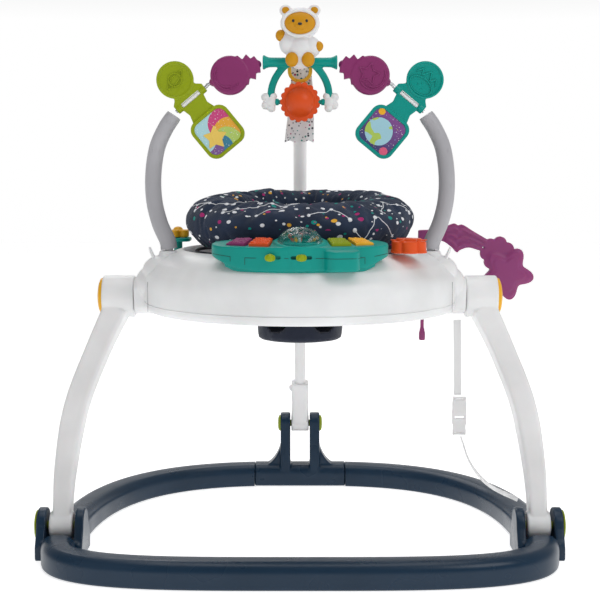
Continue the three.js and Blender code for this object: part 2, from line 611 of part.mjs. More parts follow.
function buildCentre() {
  const { z, half, r, flange } = BAR;
  const flanges = [barX(flange, -half, -half + 4, 14), barX(flange, half - 4, half, 14)];
  const pieces = [barX(r, -half, half, 14), ...flanges].map((piece) => piece.translate(0, ARCH_Y, z));
  for (const sign of [-1, 1]) {
    pieces.push(sweep(circle(5), along([
      [sign * 16, ARCH_Y, z - 2], [sign * 33, ARCH_Y, z - 18],
      [sign * 43, ARCH_Y, z - 40], [sign * 45, ARCH_Y, SUN.z],
    ]), 7, 2));
  }
  pieces.push(barX(3.4, -47, 47, 12).translate(0, ARCH_Y, SUN.z));
  const sockets = [0, Math.PI]
    .map((angle) => barX(ROD_R + 0.8, half - 8, half + 9, 12).rotateZ(angle).translate(0, ARCH_Y, z));
  part('toy_yoke', cut(join(...pieces), ...sockets), COLOURS.teal, { rough: 0.4 });
  for (const [side, sign] of SIDES) {
    const cloud = join(
      ball(11, 9, 10, 8),
      ball(8, 8, 8, 7).translate(sign * 7, 0, 6),
      ball(8, 8, 8, 7).translate(sign * 6, 0, -7),
    );
    const axleHole = barX(4, -15, 3, 8).rotateZ(sign > 0 ? 0 : Math.PI);
    const place = { at: [sign * 45, ARCH_Y, SUN.z], rough: 0.4 };
    const armHole = barZ(6.4, 0, 16, 8);
    part(`${side}_cloud`, cut(cloud, axleHole, ball(6.6, 6.6, 6.6, 8), armHole), COLOURS.white, place);
  }
  const rim = upright(petals(14, SUN.rim - 5, SUN.rim), 12);
  const sun = join(ball(SUN.r, SUN.r, SUN.r, 16), rim);
  part('sun', cut(sun, barX(3.8, -40, 40, 12)), COLOURS.orange, { at: [0, ARCH_Y, SUN.z], rough: 0.35 });
}

function buildFigure() {
  const at = [0, ARCH_Y - 4, 0];
  const suit = join(
    ball(19, 15, 25, 10).translate(0, -12, 762),
    ball(26, 21, 24, 12).translate(0, -12, 803),
    ball(7, 5, 7, 6).translate(-19, -8, 822),
    ball(7, 5, 7, 6).translate(19, -8, 822),
  );
  const faceSeat = ball(19.4, 10, 15.4, 12).translate(0, -32, 802);
  const keepOff = barX(BAR.r + 0.5, -60, 60, 16).translate(0, 4, BAR.z);
  const hands = [[-21, -17, 785], [20, -17, 774]];
  const feet = [[-11, -27, 750], [11, -27, 750]];
  const limbs = [...hands, ...feet].map((p) => ball(7.5, 7.5, 9.5, 7).translate(...p));
  part('toy_figure', cut(join(suit, ...limbs), faceSeat, keepOff), COLOURS.white, { at, rough: 0.5 });
  part('toy_face', ball(19, 9.6, 15, 12).translate(0, -32, 802), COLOURS.ochre, { at, rough: 0.5 });
  const loop = roundedRect(38, 111, 18);
  loop.holes.push(roundedRect(26, 99, 12));
  part('toy_clip', upright(loop, 8, 3).translate(0, ARCH_Y + 17, 776.5), COLOURS.yellow, { rough: 0.4 });
  const ribbon = new THREE.Shape();
  ribbon.moveTo(-13, 744);
  ribbon.lineTo(13, 744);
  ribbon.quadraticCurveTo(10, 690, 21, 650);
  ribbon.lineTo(14, 636);
  ribbon.lineTo(-6, 628);
  ribbon.lineTo(-19, 648);
  ribbon.quadraticCurveTo(-22, 690, -13, 744);
  part('toy_ribbon', upright(ribbon, 3, 5).translate(0, ARCH_Y + 35.5, 0), COLOURS.white, { rough: 0.9 });
}

// ---------------------------------------------------------------------- strap
function buildStrap() {
  const [width, thick, edge] = [12, 1.8, 0.6];
  const [x, y] = [250, HUB.y + 4];
  const hanging = along([[x, y, 350], [x, y - 8, 300], [x, y - 18, 232]]);
  part('strap_upper', sweep(roundedRect(width, thick, edge), hanging, 6, 1), COLOURS.white, { rough: 0.8 });
  part('strap_buckle', upright(roundedRect(24, 60, 5), 9, 2).translate(x + 2, y - 26, 200), COLOURS.white);
  const trailing = along([
    [x + 4, y - 32, 168], [x + 18, y - 44, 128], [x + 44, y - 62, 98], [x + 88, y - 80, 78],
  ]);
  part('strap_lower', sweep(roundedRect(thick, width, edge), trailing, 10, 1), COLOURS.white, { rough: 0.8 });
}

// ---------------------------------------------------------------------- build
buildRing();
buildFeet();
buildRearBracket();
buildLegs();
buildRearLeg();
buildTray();
buildSeat();
buildConsole();
buildTrayToys();
buildTeether();
buildArms();
buildArch();
buildCentre();
buildFigure();
buildStrap();

export default jumper;
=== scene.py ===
# Activity jumper: the visible pieces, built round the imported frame. Metres, +Z up.
import math
import random

import bmesh
import bpy
import numpy as np
from mathutils import Matrix, Vector, noise
from mathutils.bvhtree import BVHTree


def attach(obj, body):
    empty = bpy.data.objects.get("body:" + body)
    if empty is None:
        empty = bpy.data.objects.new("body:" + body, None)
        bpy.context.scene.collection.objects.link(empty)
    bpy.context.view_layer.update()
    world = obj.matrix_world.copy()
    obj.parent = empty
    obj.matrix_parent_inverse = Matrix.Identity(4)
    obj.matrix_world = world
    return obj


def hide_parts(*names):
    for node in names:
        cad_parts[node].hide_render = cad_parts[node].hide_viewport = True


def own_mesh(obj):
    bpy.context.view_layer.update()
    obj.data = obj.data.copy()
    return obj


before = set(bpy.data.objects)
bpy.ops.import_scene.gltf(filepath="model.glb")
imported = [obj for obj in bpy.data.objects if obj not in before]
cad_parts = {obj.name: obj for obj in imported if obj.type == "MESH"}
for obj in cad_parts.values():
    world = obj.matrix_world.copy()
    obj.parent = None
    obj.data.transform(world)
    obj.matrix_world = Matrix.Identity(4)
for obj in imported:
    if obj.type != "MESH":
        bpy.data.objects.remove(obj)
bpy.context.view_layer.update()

MM = 0.001
SIDES = (("left", -1), ("right", 1))

# Driving sizes, in millimetres, as on the frame.
FOOT = Vector((365, -147, 45))
HUB = Vector((285.5, -47, 388))
REAR = Vector((0, 312.5, 115))
TOP_PIVOT = Vector((0, 234, 395))
ARCH_Y = -87
RING = dict(half=365, front=165.5, rear=459.5, width=50, height=40, front_power=3.6, rear_power=2.7)
STRETCH = 1.06

scene = bpy.context.scene


# ------------------------------------------------------------------ materials
def new_material(name, colour, rough, **sockets):
    material = bpy.data.materials.new(name)
    material.use_nodes = True
    shader = material.node_tree.nodes["Principled BSDF"]
    shader.inputs["Base Color"].default_value = (*colour, 1)
    shader.inputs["Roughness"].default_value = rough
    for socket, value in sockets.items():
        shader.inputs[socket.replace("_", " ")].default_value = value
    return material


class Nodes:
    """Short calls for adding shader nodes to one material."""

    def __init__(self, material):
        self.tree = material.node_tree
        self.shader = self.tree.nodes["Principled BSDF"]

    def add(self, kind, **values):
        node = self.tree.nodes.new(kind)
        for key, value in values.items():
            if key in node.inputs and not hasattr(node, key):
                node.inputs[key].default_value = value
            else:
                setattr(node, key, value)
        return node

    def link(self, source, target):
        self.tree.links.new(source, target)

    def coords(self, kind="Object"):
        return self.add("ShaderNodeTexCoord").outputs[kind]

    def noise(self, where, scale, detail=2.0):
        node = self.add("ShaderNodeTexNoise")
        node.inputs["Scale"].default_value = scale
        node.inputs["Detail"].default_value = detail
        self.link(where, node.inputs["Vector"])
        return node.outputs["Fac"]

    def ranged(self, value, low, high, from_low=0.3, from_high=0.7):
        node = self.add("ShaderNodeMapRange")
        node.inputs["From Min"].default_value = from_low
        node.inputs["From Max"].default_value = from_high
        node.inputs["To Min"].default_value = low
        node.inputs["To Max"].default_value = high
        self.link(value, node.inputs["Value"])
        return node.outputs["Result"]

    def mix(self, factor, a, b):
        node = self.add("ShaderNodeMix", data_type="RGBA")
        for socket, value in ((node.inputs[0], factor), (node.inputs[6], a), (node.inputs[7], b)):
            if isinstance(value, bpy.types.NodeSocket):
                self.link(value, socket)
            elif isinstance(value, (int, float)):
                socket.default_value = value
            else:
                socket.default_value = (*value, 1)
        return node.outputs[2]

    def math(self, operation, a, b=0.0, c=None):
        node = self.add("ShaderNodeMath", operation=operation)
        for socket, value in zip(node.inputs, (a, b, c)):
            if isinstance(value, bpy.types.NodeSocket):
                self.link(value, socket)
            elif value is not None:
                socket.default_value = value
        return node.outputs[0]

    def bump(self, height, strength, distance):
        node = self.add("ShaderNodeBump")
        node.inputs["Strength"].default_value = strength
        node.inputs["Distance"].default_value = distance
        self.link(height, node.inputs["Height"])
        self.link(node.outputs[0], self.shader.inputs["Normal"])


def plastic(name, colour, rough=0.36, grain=0.12, **sockets):
    """Moulded plastic: a fine grain, uneven gloss and a slightly uneven tone."""
    material = new_material(name, colour, rough, **sockets)
    n = Nodes(material)
    where = n.coords()
    n.link(n.ranged(n.noise(where, 14), rough - 0.05, rough + 0.09), n.shader.inputs["Roughness"])
    darker, lighter = [c * 0.9 for c in colour], [min(1, c * 1.06 + 0.002) for c in colour]
    n.link(n.mix(n.ranged(n.noise(where, 9, 4), 0, 1), darker, lighter), n.shader.inputs["Base Color"])
    n.bump(n.noise(where, 1500, 3), grain, 0.0004)
    return material


def weave(n, where, threads=360.0):
    """Height of a plain weave: bands in three directions under a little noise."""
    total = None
    for axis in "XYZ":
        wave = n.add("ShaderNodeTexWave", bands_direction=axis)
        wave.inputs["Scale"].default_value = threads
        wave.inputs["Distortion"].default_value = 0.6
        n.link(where, wave.inputs["Vector"])
        total = wave.outputs["Fac"] if total is None else n.math("ADD", total, wave.outputs["Fac"])
    return n.math("ADD", total, n.math("MULTIPLY", n.noise(where, 260, 4), 1.4))


def dots(n, where, scale, keep_from, colours, size=(0.06, 0.2)):
    """Round printed dots: (colour, mask) from one dot in each cell."""
    cell = n.add("ShaderNodeTexVoronoi", voronoi_dimensions="2D")
    cell.inputs["Scale"].default_value = scale
    cell.inputs["Randomness"].default_value = 0.9
    n.link(where, cell.inputs["Vector"])
    parts = n.add("ShaderNodeSeparateColor")
    n.link(cell.outputs["Color"], parts.inputs[0])
    ramp = n.add("ShaderNodeValToRGB")
    ramp.color_ramp.interpolation = "CONSTANT"
    ramp.color_ramp.elements[0].color = (*colours[0][1], 1)
    ramp.color_ramp.elements[1].position = colours[1][0]
    ramp.color_ramp.elements[1].color = (*colours[1][1], 1)
    for position, colour in colours[2:]:
        ramp.color_ramp.elements.new(position).color = (*colour, 1)
    n.link(parts.outputs[0], ramp.inputs[0])
    limit = n.ranged(parts.outputs[1], size[0], size[1], 0, 1)
    inside = n.math("LESS_THAN", cell.outputs["Distance"], limit)
    kept = n.math("GREATER_THAN", parts.outputs[2], keep_from)
    return ramp.outputs[0], n.math("MULTIPLY", inside, kept)


WHITE_INK = (0.78, 0.8, 0.84)
MAGENTA_INK = (0.42, 0.02, 0.16)
TEAL_INK = (0.0, 0.28, 0.24)
YELLOW_INK = (0.8, 0.42, 0.04)


def cotton_print(name, ground):
    material = new_material(name, ground, 0.9, Sheen_Weight=0.1, Sheen_Roughness=0.5, Specular_IOR_Level=0.25)
    n = Nodes(material)
    where = n.coords("UV")
    cloth = n.mix(n.ranged(n.noise(n.coords(), 30, 5), 0, 1), [c * 0.8 for c in ground],
                  [c * 1.3 for c in ground])
    big = [(0, WHITE_INK), (0.55, MAGENTA_INK), (0.72, TEAL_INK), (0.9, YELLOW_INK)]
    ink, mask = dots(n, where, 50, 0.3, big, (0.09, 0.2))
    colour = n.mix(mask, cloth, ink)
    ink, mask = dots(n, where, 95, 0.78, big, (0.09, 0.2))
    n.link(n.mix(mask, colour, ink), n.shader.inputs["Base Color"])
    n.bump(weave(n, n.coords()), 0.35, 0.0005)
    return material


def speckled_cloth(name):
    ground = (0.8, 0.8, 0.81)
    material = new_material(name, ground, 0.85, Sheen_Weight=0.2)
    n = Nodes(material)
    split, where = n.add("ShaderNodeSeparateXYZ"), n.add("ShaderNodeCombineXYZ")
    n.link(n.coords(), split.inputs[0])
    n.link(split.outputs["X"], where.inputs["X"])
    n.link(split.outputs["Z"], where.inputs["Y"])
    where = where.outputs[0]
    inks = [(0, (0.02, 0.02, 0.04)), (0.35, (0.0, 0.2, 0.18)), (0.55, (0.35, 0.01, 0.13)),
            (0.75, (0.2, 0.2, 0.24))]
    ink, mask = dots(n, where, 170, 0.25, inks, (0.12, 0.3))
    n.link(n.mix(mask, ground, ink), n.shader.inputs["Base Color"])
    n.bump(weave(n, where), 0.3, 0.0004)
    return material


def webbing_material(name):
    ground = (0.8, 0.8, 0.8)
    material = new_material(name, ground, 0.75)
    n = Nodes(material)
    where = n.coords()
    wave = n.add("ShaderNodeTexWave", bands_direction="DIAGONAL")
    wave.inputs["Scale"].default_value = 180
    n.link(where, wave.inputs["Vector"])
    n.link(n.mix(wave.outputs["Fac"], (0.8, 0.8, 0.8), (0.93, 0.93, 0.93)), n.shader.inputs["Base Color"])
    n.bump(wave.outputs["Fac"], 0.5, 0.0005)
    return material


def picture(name, kind):
    """Printed artwork on a plate, drawn round the middle of its UV square."""
    material = new_material(name, (0.5, 0.5, 0.5), 0.25, Coat_Weight=0.6)
    n = Nodes(material)
    uv = n.coords("UV")
    split = n.add("ShaderNodeSeparateXYZ")
    n.link(uv, split.inputs[0])
    x, y = split.outputs[0], split.outputs[1]
    reach = n.math("SQRT", n.math("ADD", n.math("MULTIPLY", x, x), n.math("MULTIPLY", y, y)))
    if kind == "swirl":
        turn = n.math("ARCTAN2", n.math("ADD", y, 0.34), n.math("ADD", x, 0.15))
        swirl = n.math("FRACT", n.math("ADD", n.math("DIVIDE", turn, 2 * math.pi),
                                       n.math("MULTIPLY", reach, 0.14)))
        ramp = n.add("ShaderNodeValToRGB")
        ramp.color_ramp.interpolation = "CONSTANT"
        bands = [(0, (0.02, 0.2, 0.32)), (0.1, (0.45, 0.62, 0.12)), (0.2, (0.82, 0.4, 0.02)),
                 (0.3, (0.6, 0.04, 0.2)), (0.42, (0.42, 0.7, 0.75)), (0.86, (0.2, 0.08, 0.3))]
        for i, (position, colour) in enumerate(bands):
            stop = ramp.color_ramp.elements[i] if i < 2 else ramp.color_ramp.elements.new(position)
            stop.position = position
            stop.color = (*colour, 1)
        n.link(swirl, ramp.inputs[0])
        ground = ramp.outputs[0]
    else:
        ground = n.mix(n.ranged(n.math("ADD", x, y), 0, 1, -1.2, 1.2), (0.03, 0.03, 0.16), (0.2, 0.05, 0.26))
    ink, mask = dots(n, uv, 7, 0.45, [(0, (0.9, 0.9, 0.9)), (0.8, (0.85, 0.6, 0.1)), (0.9, (0.2, 0.4, 0.8))],
                     (0.05, 0.16))
    n.link(n.mix(mask, ground, ink), n.shader.inputs["Base Color"])
    return material


def globe_material(name):
    """A printed globe: land in patches on a pale sea."""
    sea, land = (0.35, 0.62, 0.72), (0.42, 0.6, 0.09)
    material = new_material(name, sea, 0.25, Coat_Weight=0.6)
    n = Nodes(material)
    is_land = n.math("GREATER_THAN", n.noise(n.coords(), 42, 1), 0.53)
    n.link(n.mix(is_land, sea, land), n.shader.inputs["Base Color"])
    return material


def lining_cloth(name):
    material = new_material(name, (0.012, 0.017, 0.035), 0.95, Sheen_Weight=0.2)
    n = Nodes(material)
    n.bump(weave(n, n.coords()), 0.3, 0.0005)
    return material


def steel_material(name):
    material = new_material(name, (0.62, 0.63, 0.65), 0.25, Metallic=1.0)
    n = Nodes(material)
    n.link(n.ranged(n.noise(n.coords(), 60, 4), 0.18, 0.36), n.shader.inputs["Roughness"])
    return material


M = {
    "navy_plastic": plastic("navy_plastic", (0.006, 0.026, 0.056), 0.28, Specular_IOR_Level=0.3),
    "white_plastic": plastic("white_plastic", (0.83, 0.83, 0.835), 0.34, 0.08, Subsurface_Weight=0.05),
    "grey_soft": plastic("grey_soft", (0.42, 0.415, 0.44), 0.5, 0.3),
    "lime_plastic": plastic("lime_plastic", (0.29, 0.37, 0.006), 0.32, Specular_IOR_Level=0.22),
    "teal_plastic": plastic("teal_plastic", (0.0, 0.29, 0.245), 0.32, Specular_IOR_Level=0.22),
    "yellow_plastic": plastic("yellow_plastic", (0.86, 0.44, 0.02), 0.36, Specular_IOR_Level=0.3),
    "purple_plastic": plastic("purple_plastic", (0.25, 0.028, 0.14), 0.34, Specular_IOR_Level=0.3),
    "orange_plastic": plastic("orange_plastic", (0.74, 0.085, 0.012), 0.3, Specular_IOR_Level=0.24),
    "steel": steel_material("steel"),
    "navy_fabric": cotton_print("navy_fabric", (0.017, 0.029, 0.06)),
    "toy_white": plastic("toy_white", (0.82, 0.82, 0.83), 0.5, 0.25, Subsurface_Weight=0.08),
    "ochre_plastic": plastic("ochre_plastic", (0.64, 0.29, 0.003), 0.46, 0.25, Specular_IOR_Level=0.3),
    "clear_plastic": new_material("clear_plastic", (0.93, 0.97, 0.98), 0.04, Transmission_Weight=1.0,
                                  IOR=1.2, Alpha=0.55),
    "picture_sky": picture("picture_sky", "swirl"),
    "picture_space": picture("picture_space", "space"),
    "webbing": webbing_material("webbing"),
    "ribbon_fabric": speckled_cloth("ribbon_fabric"),
}
PLAIN_FABRIC = lining_cloth("navy_lining")
INK = new_material("print_ink", WHITE_INK, 0.8)
DARK = plastic("dark_plastic", (0.012, 0.012, 0.014), 0.25)
SEAM = new_material("moulding_seam", (0.42, 0.42, 0.43), 0.6)
SEAM_DARK = new_material("dark_seam", (0.0, 0.075, 0.06), 0.6)
RUBBER = plastic("purple_rubber", (0.27, 0.035, 0.17), 0.45, 0.2, Subsurface_Weight=0.25,
                 Subsurface_Scale=0.02)
PRINT_STAR = plastic("print_star", (0.87, 0.6, 0.1), 0.25, 0.02, Coat_Weight=0.5)
PRINT_PINK = plastic("print_pink", (0.72, 0.09, 0.2), 0.25, 0.02, Coat_Weight=0.5)
PRINT_GLOBE = globe_material("print_globe")


# -------------------------------------------------------------------- meshing
def piece(name, verts, faces, slot, body, nodes=(), place=None, material=None, bevel=0, angle=35, segments=3,
          sub=0):
    """A mesh piece that rides on a body, in millimetres before `place`."""
    mesh = bpy.data.meshes.new(name)
    mesh.from_pydata([tuple(v) for v in verts], [], [tuple(f) for f in faces])
    if place is not None:
        mesh.transform(place)
    mesh.transform(Matrix.Scale(MM, 4))
    bm = bmesh.new()
    bm.from_mesh(mesh)
    bmesh.ops.recalc_face_normals(bm, faces=bm.faces)
    bm.to_mesh(mesh)
    bm.free()
    mesh.materials.append(material or M[slot])
    mesh.polygons.foreach_set("use_smooth", [True] * len(mesh.polygons))
    obj = bpy.data.objects.new(name, mesh)
    scene.collection.objects.link(obj)
    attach(obj, body)
    if nodes:
        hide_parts(*([nodes] if isinstance(nodes, str) else nodes))
    if sub:
        modifier = obj.modifiers.new("Smooth", "SUBSURF")
        modifier.levels = modifier.render_levels = sub
    if bevel:
        modifier = obj.modifiers.new("Edge", "BEVEL")
        modifier.width = bevel * MM
        modifier.segments = segments
        modifier.angle_limit = math.radians(angle)
        modifier.harden_normals = True
    else:
        mesh.set_sharp_from_angle(angle=math.radians(angle))
    return obj


def arc(cx, cy, r, a0, a1, count):
    """Points on an arc, in degrees, both ends included."""
    angles = [math.radians(a0 + (a1 - a0) * i / (count - 1)) for i in range(count)]
    return [(cx + r * math.cos(a), cy + r * math.sin(a)) for a in angles]


def full_turn(count):
    """Angles all the way round, the last one left out."""
    return np.linspace(0, 2 * math.pi, count + 1)[:-1]


def disc(r, count=48, cx=0.0, cy=0.0):
    return arc(cx, cy, r, 0, 360, count + 1)[:-1]


def rounded_rect(w, h, r, count=6, cx=0.0, cy=0.0):
    x, y = w / 2 - r, h / 2 - r
    corners = ((x, y, 0), (-x, y, 90), (-x, -y, 180), (x, -y, 270))
    return [p for sx, sy, a in corners for p in arc(cx + sx, cy + sy, r, a, a + 90, count)]


def petals(count, inner, outer, per=10, power=0.6):
    total = count * per
    out = []
    for i in range(total):
        a = 2 * math.pi * i / total
        r = inner + (outer - inner) * abs(math.sin(count * a / 2)) ** power
        out.append((r * math.cos(a), r * math.sin(a)))
    return out


def star(points, inner, outer, turn=90, cx=0.0, cy=0.0):
    out = []
    for i in range(2 * points):
        a = math.radians(turn + 180 * i / points)
        r = outer if i % 2 == 0 else inner
        out.append((cx + r * math.cos(a), cy + r * math.sin(a)))
    return out


def prism_mesh(outline, z0, z1):
    n = len(outline)
    verts = [(x, y, z0) for x, y in outline] + [(x, y, z1) for x, y in outline]
    faces = [[i, (i + 1) % n, n + (i + 1) % n, n + i] for i in range(n)]
    return verts, faces + [list(range(n))[::-1], list(range(n, 2 * n))]


def band_mesh(outer, inner, z0, z1):
    """A flat ring between two outlines with the same number of points."""
    n = len(outer)
    verts = [(x, y, z) for loop, z in ((outer, z0), (outer, z1), (inner, z1), (inner, z0)) for x, y in loop]
    faces = [[k * n + i, k * n + (i + 1) % n, (k + 1) % 4 * n + (i + 1) % n, (k + 1) % 4 * n + i]
             for k in range(4) for i in range(n)]
    return verts, faces


def lathe_mesh(profile, segments=96, stretch=1.0, closed=False):
    """A profile of (radius, height) turned about Z; points on the axis become one vertex."""
    verts, rings = [], []
    for r, z in profile:
        if r < 1e-6:
            rings.append([len(verts)] * segments)
            verts.append((0, 0, z))
            continue
        rings.append(list(range(len(verts), len(verts) + segments)))
        for i in range(segments):
            a = 2 * math.pi * i / segments
            verts.append((r * math.cos(a), r * math.sin(a) * stretch, z))
    faces = []
    pairs = list(zip(rings, rings[1:])) + ([(rings[-1], rings[0])] if closed else [])
    for low, high in pairs:
        for i in range(segments):
            j = (i + 1) % segments
            face = [low[i], low[j], high[j], high[i]]
            face = [v for k, v in enumerate(face) if v != face[k - 1]]
            if len(face) > 2:
                faces.append(face)
    return verts, faces


def sweep_mesh(path, section, up, scale=None, closed=False):
    """A section of (side, up) points carried along a path; the ends are closed flat."""
    path = [Vector(p) for p in path]
    n, m = len(path), len(section)
    verts = []
    for i, p in enumerate(path):
        before, after = (path[i - 1], path[(i + 1) % n]) if closed else (path[max(i - 1, 0)],
                                                                         path[min(i + 1, n - 1)])
        tangent = (after - before).normalized()
        side = tangent.cross(Vector(up)).normalized()
        over = side.cross(tangent)
        k = scale(i / (n - 1)) if scale else 1.0
        verts += [p + side * sx * k + over * sy * k for sx, sy in section]
    rows = n if closed else n - 1
    faces = [[i * m + j, i * m + (j + 1) % m, (i + 1) % n * m + (j + 1) % m, (i + 1) % n * m + j]
             for i in range(rows) for j in range(m)]
    if not closed:
        faces += [list(range(m))[::-1], [(n - 1) * m + j for j in range(m)]]
    return verts, faces


def smooth_path(points, count):
    """A Catmull-Rom curve through the points, sampled evenly enough."""
    p = [Vector(q) for q in points]
    p = [2 * p[0] - p[1], *p, 2 * p[-1] - p[-2]]
    out = []
    spans = len(p) - 3
    for k in range(count):
        t = k / (count - 1) * spans
        i = min(int(t), spans - 1)
        u = t - i
        a, b, c, d = p[i:i + 4]
        square, cube = 2 * a - 5 * b + 4 * c - d, 3 * b - 3 * c + d - a
        out.append(0.5 * (2 * b + (c - a) * u + square * u * u + cube * u ** 3))
    return out


def merged(*meshes):
    verts, faces = [], []
    for v, f in meshes:
        faces += [[i + len(verts) for i in face] for face in f]
        verts += list(v)
    return verts, faces


def moved(mesh, matrix):
    return [matrix @ Vector(v) for v in mesh[0]], mesh[1]


def at(x=0.0, y=0.0, z=0.0):
    return Matrix.Translation((x, y, z))


def turn(axis, degrees):
    return Matrix.Rotation(math.radians(degrees), 4, axis)


UPRIGHT = turn("X", 90)  # a shape drawn in X and Y stands up, facing -Y
ACROSS = turn("Y", 90)  # a lathe's Z axis becomes +X


def bar_mesh(r, length, rim=1.2, segments=40):
    """A round bar along Z from 0, with softened ends."""
    profile = [(0, 0), (r - rim, 0), (r - rim * 0.3, rim * 0.3), (r, rim), (r, length - rim),
               (r - rim * 0.3, length - rim * 0.3), (r - rim, length), (0, length)]
    return lathe_mesh(profile, segments)


def fused(name, parts, slot, body, voxel, nodes=(), material=None, relax=6):
    """Several closed meshes melted into one smooth moulding."""
    verts, faces = merged(*parts)
    obj = piece(name, verts, faces, slot, body, nodes, material=material, angle=180)
    modifier = obj.modifiers.new("Melt", "REMESH")
    modifier.mode = "VOXEL"
    modifier.voxel_size = voxel * MM
    modifier.use_smooth_shade = True
    soften = obj.modifiers.new("Soften", "SMOOTH")
    soften.iterations = relax
    soften.factor = 0.5
    return obj


def egg_mesh(rx, ry, rz, centre, segments=36):
    rows = 20
    profile = [(math.sin(math.pi * i / rows), -math.cos(math.pi * i / rows)) for i in range(rows + 1)]
    profile[0], profile[-1] = (0, -1), (0, 1)
    return moved(lathe_mesh(profile, segments), at(*centre) @ Matrix.Diagonal((rx, ry, rz, 1)))


def trimmed(mesh, *planes):
    """Cuts a closed mesh square: what lies on the side that a plane's normal points to goes."""
    bm = bmesh.new()
    made = [bm.verts.new(v) for v in mesh[0]]
    for face in mesh[1]:
        bm.faces.new([made[i] for i in face])
    for point, normal in planes:
        whole = bm.verts[:] + bm.edges[:] + bm.faces[:]
        bmesh.ops.bisect_plane(bm, geom=whole, plane_co=point, plane_no=normal, clear_outer=True)
        bmesh.ops.holes_fill(bm, edges=[e for e in bm.edges if e.is_boundary])
    bm.verts.index_update()
    out = [v.co.copy() for v in bm.verts], [[v.index for v in f.verts] for f in bm.faces]
    bm.free()
    return out


def evenly(points, count):
    """The same line with its points a constant distance apart."""
    line = np.array([tuple(p) for p in points], float)
    along = np.concatenate([[0], np.cumsum(np.linalg.norm(np.diff(line, axis=0), axis=1))])
    steps = np.linspace(0, along[-1], count)
    return [Vector(p) for p in np.stack([np.interp(steps, along, line[:, k]) for k in range(3)], axis=1)]


def settle(obj):
    """Turns an object's modifiers into its mesh."""
    graph = bpy.context.evaluated_depsgraph_get()
    mesh = bpy.data.meshes.new_from_object(obj.evaluated_get(graph))
    obj.modifiers.clear()
    old = obj.data
    obj.data = mesh
    bpy.data.meshes.remove(old)
    return obj


def hollow(obj, *cutters):
    """Cuts closed meshes, in millimetres, out of a piece."""
    verts, faces = merged(*cutters)
    tool = piece("cutter", verts, faces, "white_plastic", "base")
    modifier = obj.modifiers.new("Cut", "BOOLEAN")
    modifier.object = tool
    modifier.solver = "EXACT"
    modifier.use_self = len(cutters) > 1
    bpy.context.view_layer.update()
    settle(obj)
    bpy.data.objects.remove(tool)
    obj.data.set_sharp_from_angle(angle=math.radians(35))
    return obj


# ------------------------------------------------- camera, floor and lights
def build_stage():
    camera = bpy.data.objects.new("camera", bpy.data.cameras.new("camera"))
    camera.data.sensor_width = 36
    camera.data.lens = 81.8
    camera.location = (0, -2.197, 0.6)
    camera.rotation_euler = (Vector((0, -0.147, 0.392)) - camera.location).to_track_quat("-Z", "Y").to_euler()
    scene.collection.objects.link(camera)
    scene.camera = camera
    floor_material = new_material("floor", (0.8, 0.8, 0.8), 0.8, Emission_Color=(1, 1, 1, 1),
                                  Emission_Strength=0.7)
    n = Nodes(floor_material)
    n.link(n.ranged(n.noise(n.coords(), 3), 0.6, 0.8), n.shader.inputs["Roughness"])
    mesh = bpy.data.meshes.new("floor")
    half = 8
    mesh.from_pydata([(-half, -half, 0), (half, -half, 0), (half, half, 0), (-half, half, 0)], [],
                     [(0, 1, 2, 3)])
    mesh.materials.append(floor_material)
    floor = bpy.data.objects.new("floor", mesh)
    scene.collection.objects.link(floor)
    lights = (("key", (1.6, -1.7, 2.2), 1.3, 17), ("fill", (-1.9, -1.7, 1.4), 1.8, 3),
              ("back", (-0.6, 2.2, 2.4), 1.8, 18), ("top", (0, -0.1, 3.0), 2.0, 24))
    for name, place, size, power in lights:
        light = bpy.data.lights.new(name, "AREA")
        light.size = size
        light.energy = power
        obj = bpy.data.objects.new(name, light)
        obj.location = place
        obj.rotation_euler = (Vector((0, 0, 0.4)) - obj.location).to_track_quat("-Z", "Y").to_euler()
        scene.collection.objects.link(obj)
    world = bpy.data.worlds.new("studio")
    world.use_nodes = True
    tree = world.node_tree
    background = tree.nodes["Background"]
    split = tree.nodes.new("ShaderNodeSeparateXYZ")
    tree.links.new(tree.nodes.new("ShaderNodeTexCoord").outputs["Generated"], split.inputs[0])
    strength = None
    for axis, low, high, at_low, at_high in (("Z", 0.1, 0.26, 1.0, 0.4), ("Y", -0.8, 0.1, 0.6, 1.0),
                                             ("X", -0.9, -0.3, 0.55, 1.0)):
        fade = tree.nodes.new("ShaderNodeMapRange")
        for name, value in (("From Min", low), ("From Max", high), ("To Min", at_low), ("To Max", at_high)):
            fade.inputs[name].default_value = value
        tree.links.new(split.outputs[axis], fade.inputs["Value"])
        if strength is None:
            strength = fade.outputs["Result"]
            continue
        product = tree.nodes.new("ShaderNodeMath")
        product.operation = "MULTIPLY"
        tree.links.new(strength, product.inputs[0])
        tree.links.new(fade.outputs["Result"], product.inputs[1])
        strength = product.outputs[0]
    tree.links.new(strength, background.inputs["Strength"])
    background.inputs["Color"].default_value = (1, 1, 1, 1)
    scene.world = world
    scene.view_settings.view_transform = "Standard"


# --------------------------------------------------------------------- strap
STRAP_X, STRAP_Y, STRAP_WIDTH = 250, -43, 12


def build_strap():
    x, y = STRAP_X, STRAP_Y
    upper = smooth_path([(x, y, 350), (x, y - 8, 300), (x, y - 18, 232)], 24)
    lower = smooth_path([(x + 4, y - 32, 168), (x + 18, y - 44, 128), (x + 44, y - 62, 98),
                         (x + 88, y - 80, 78)], 30)
    buckle = build_buckle(x + 2, y - 26, 200)
    facing, edgeways = rounded_rect(1.8, STRAP_WIDTH, 0.8, 3), rounded_rect(STRAP_WIDTH, 1.8, 0.8, 3)
    for name, path, node, ends, extra, section in (
            ("strap_upper_band", upper, "strap_upper", "fitting", [buckle], facing),
            ("strap_lower_band", lower, "strap_lower", "object", [], edgeways)):
        mesh = sweep_mesh(path, section, (1, 0, 0))
        band = piece(name, *mesh, "webbing", "legs", node, angle=50)


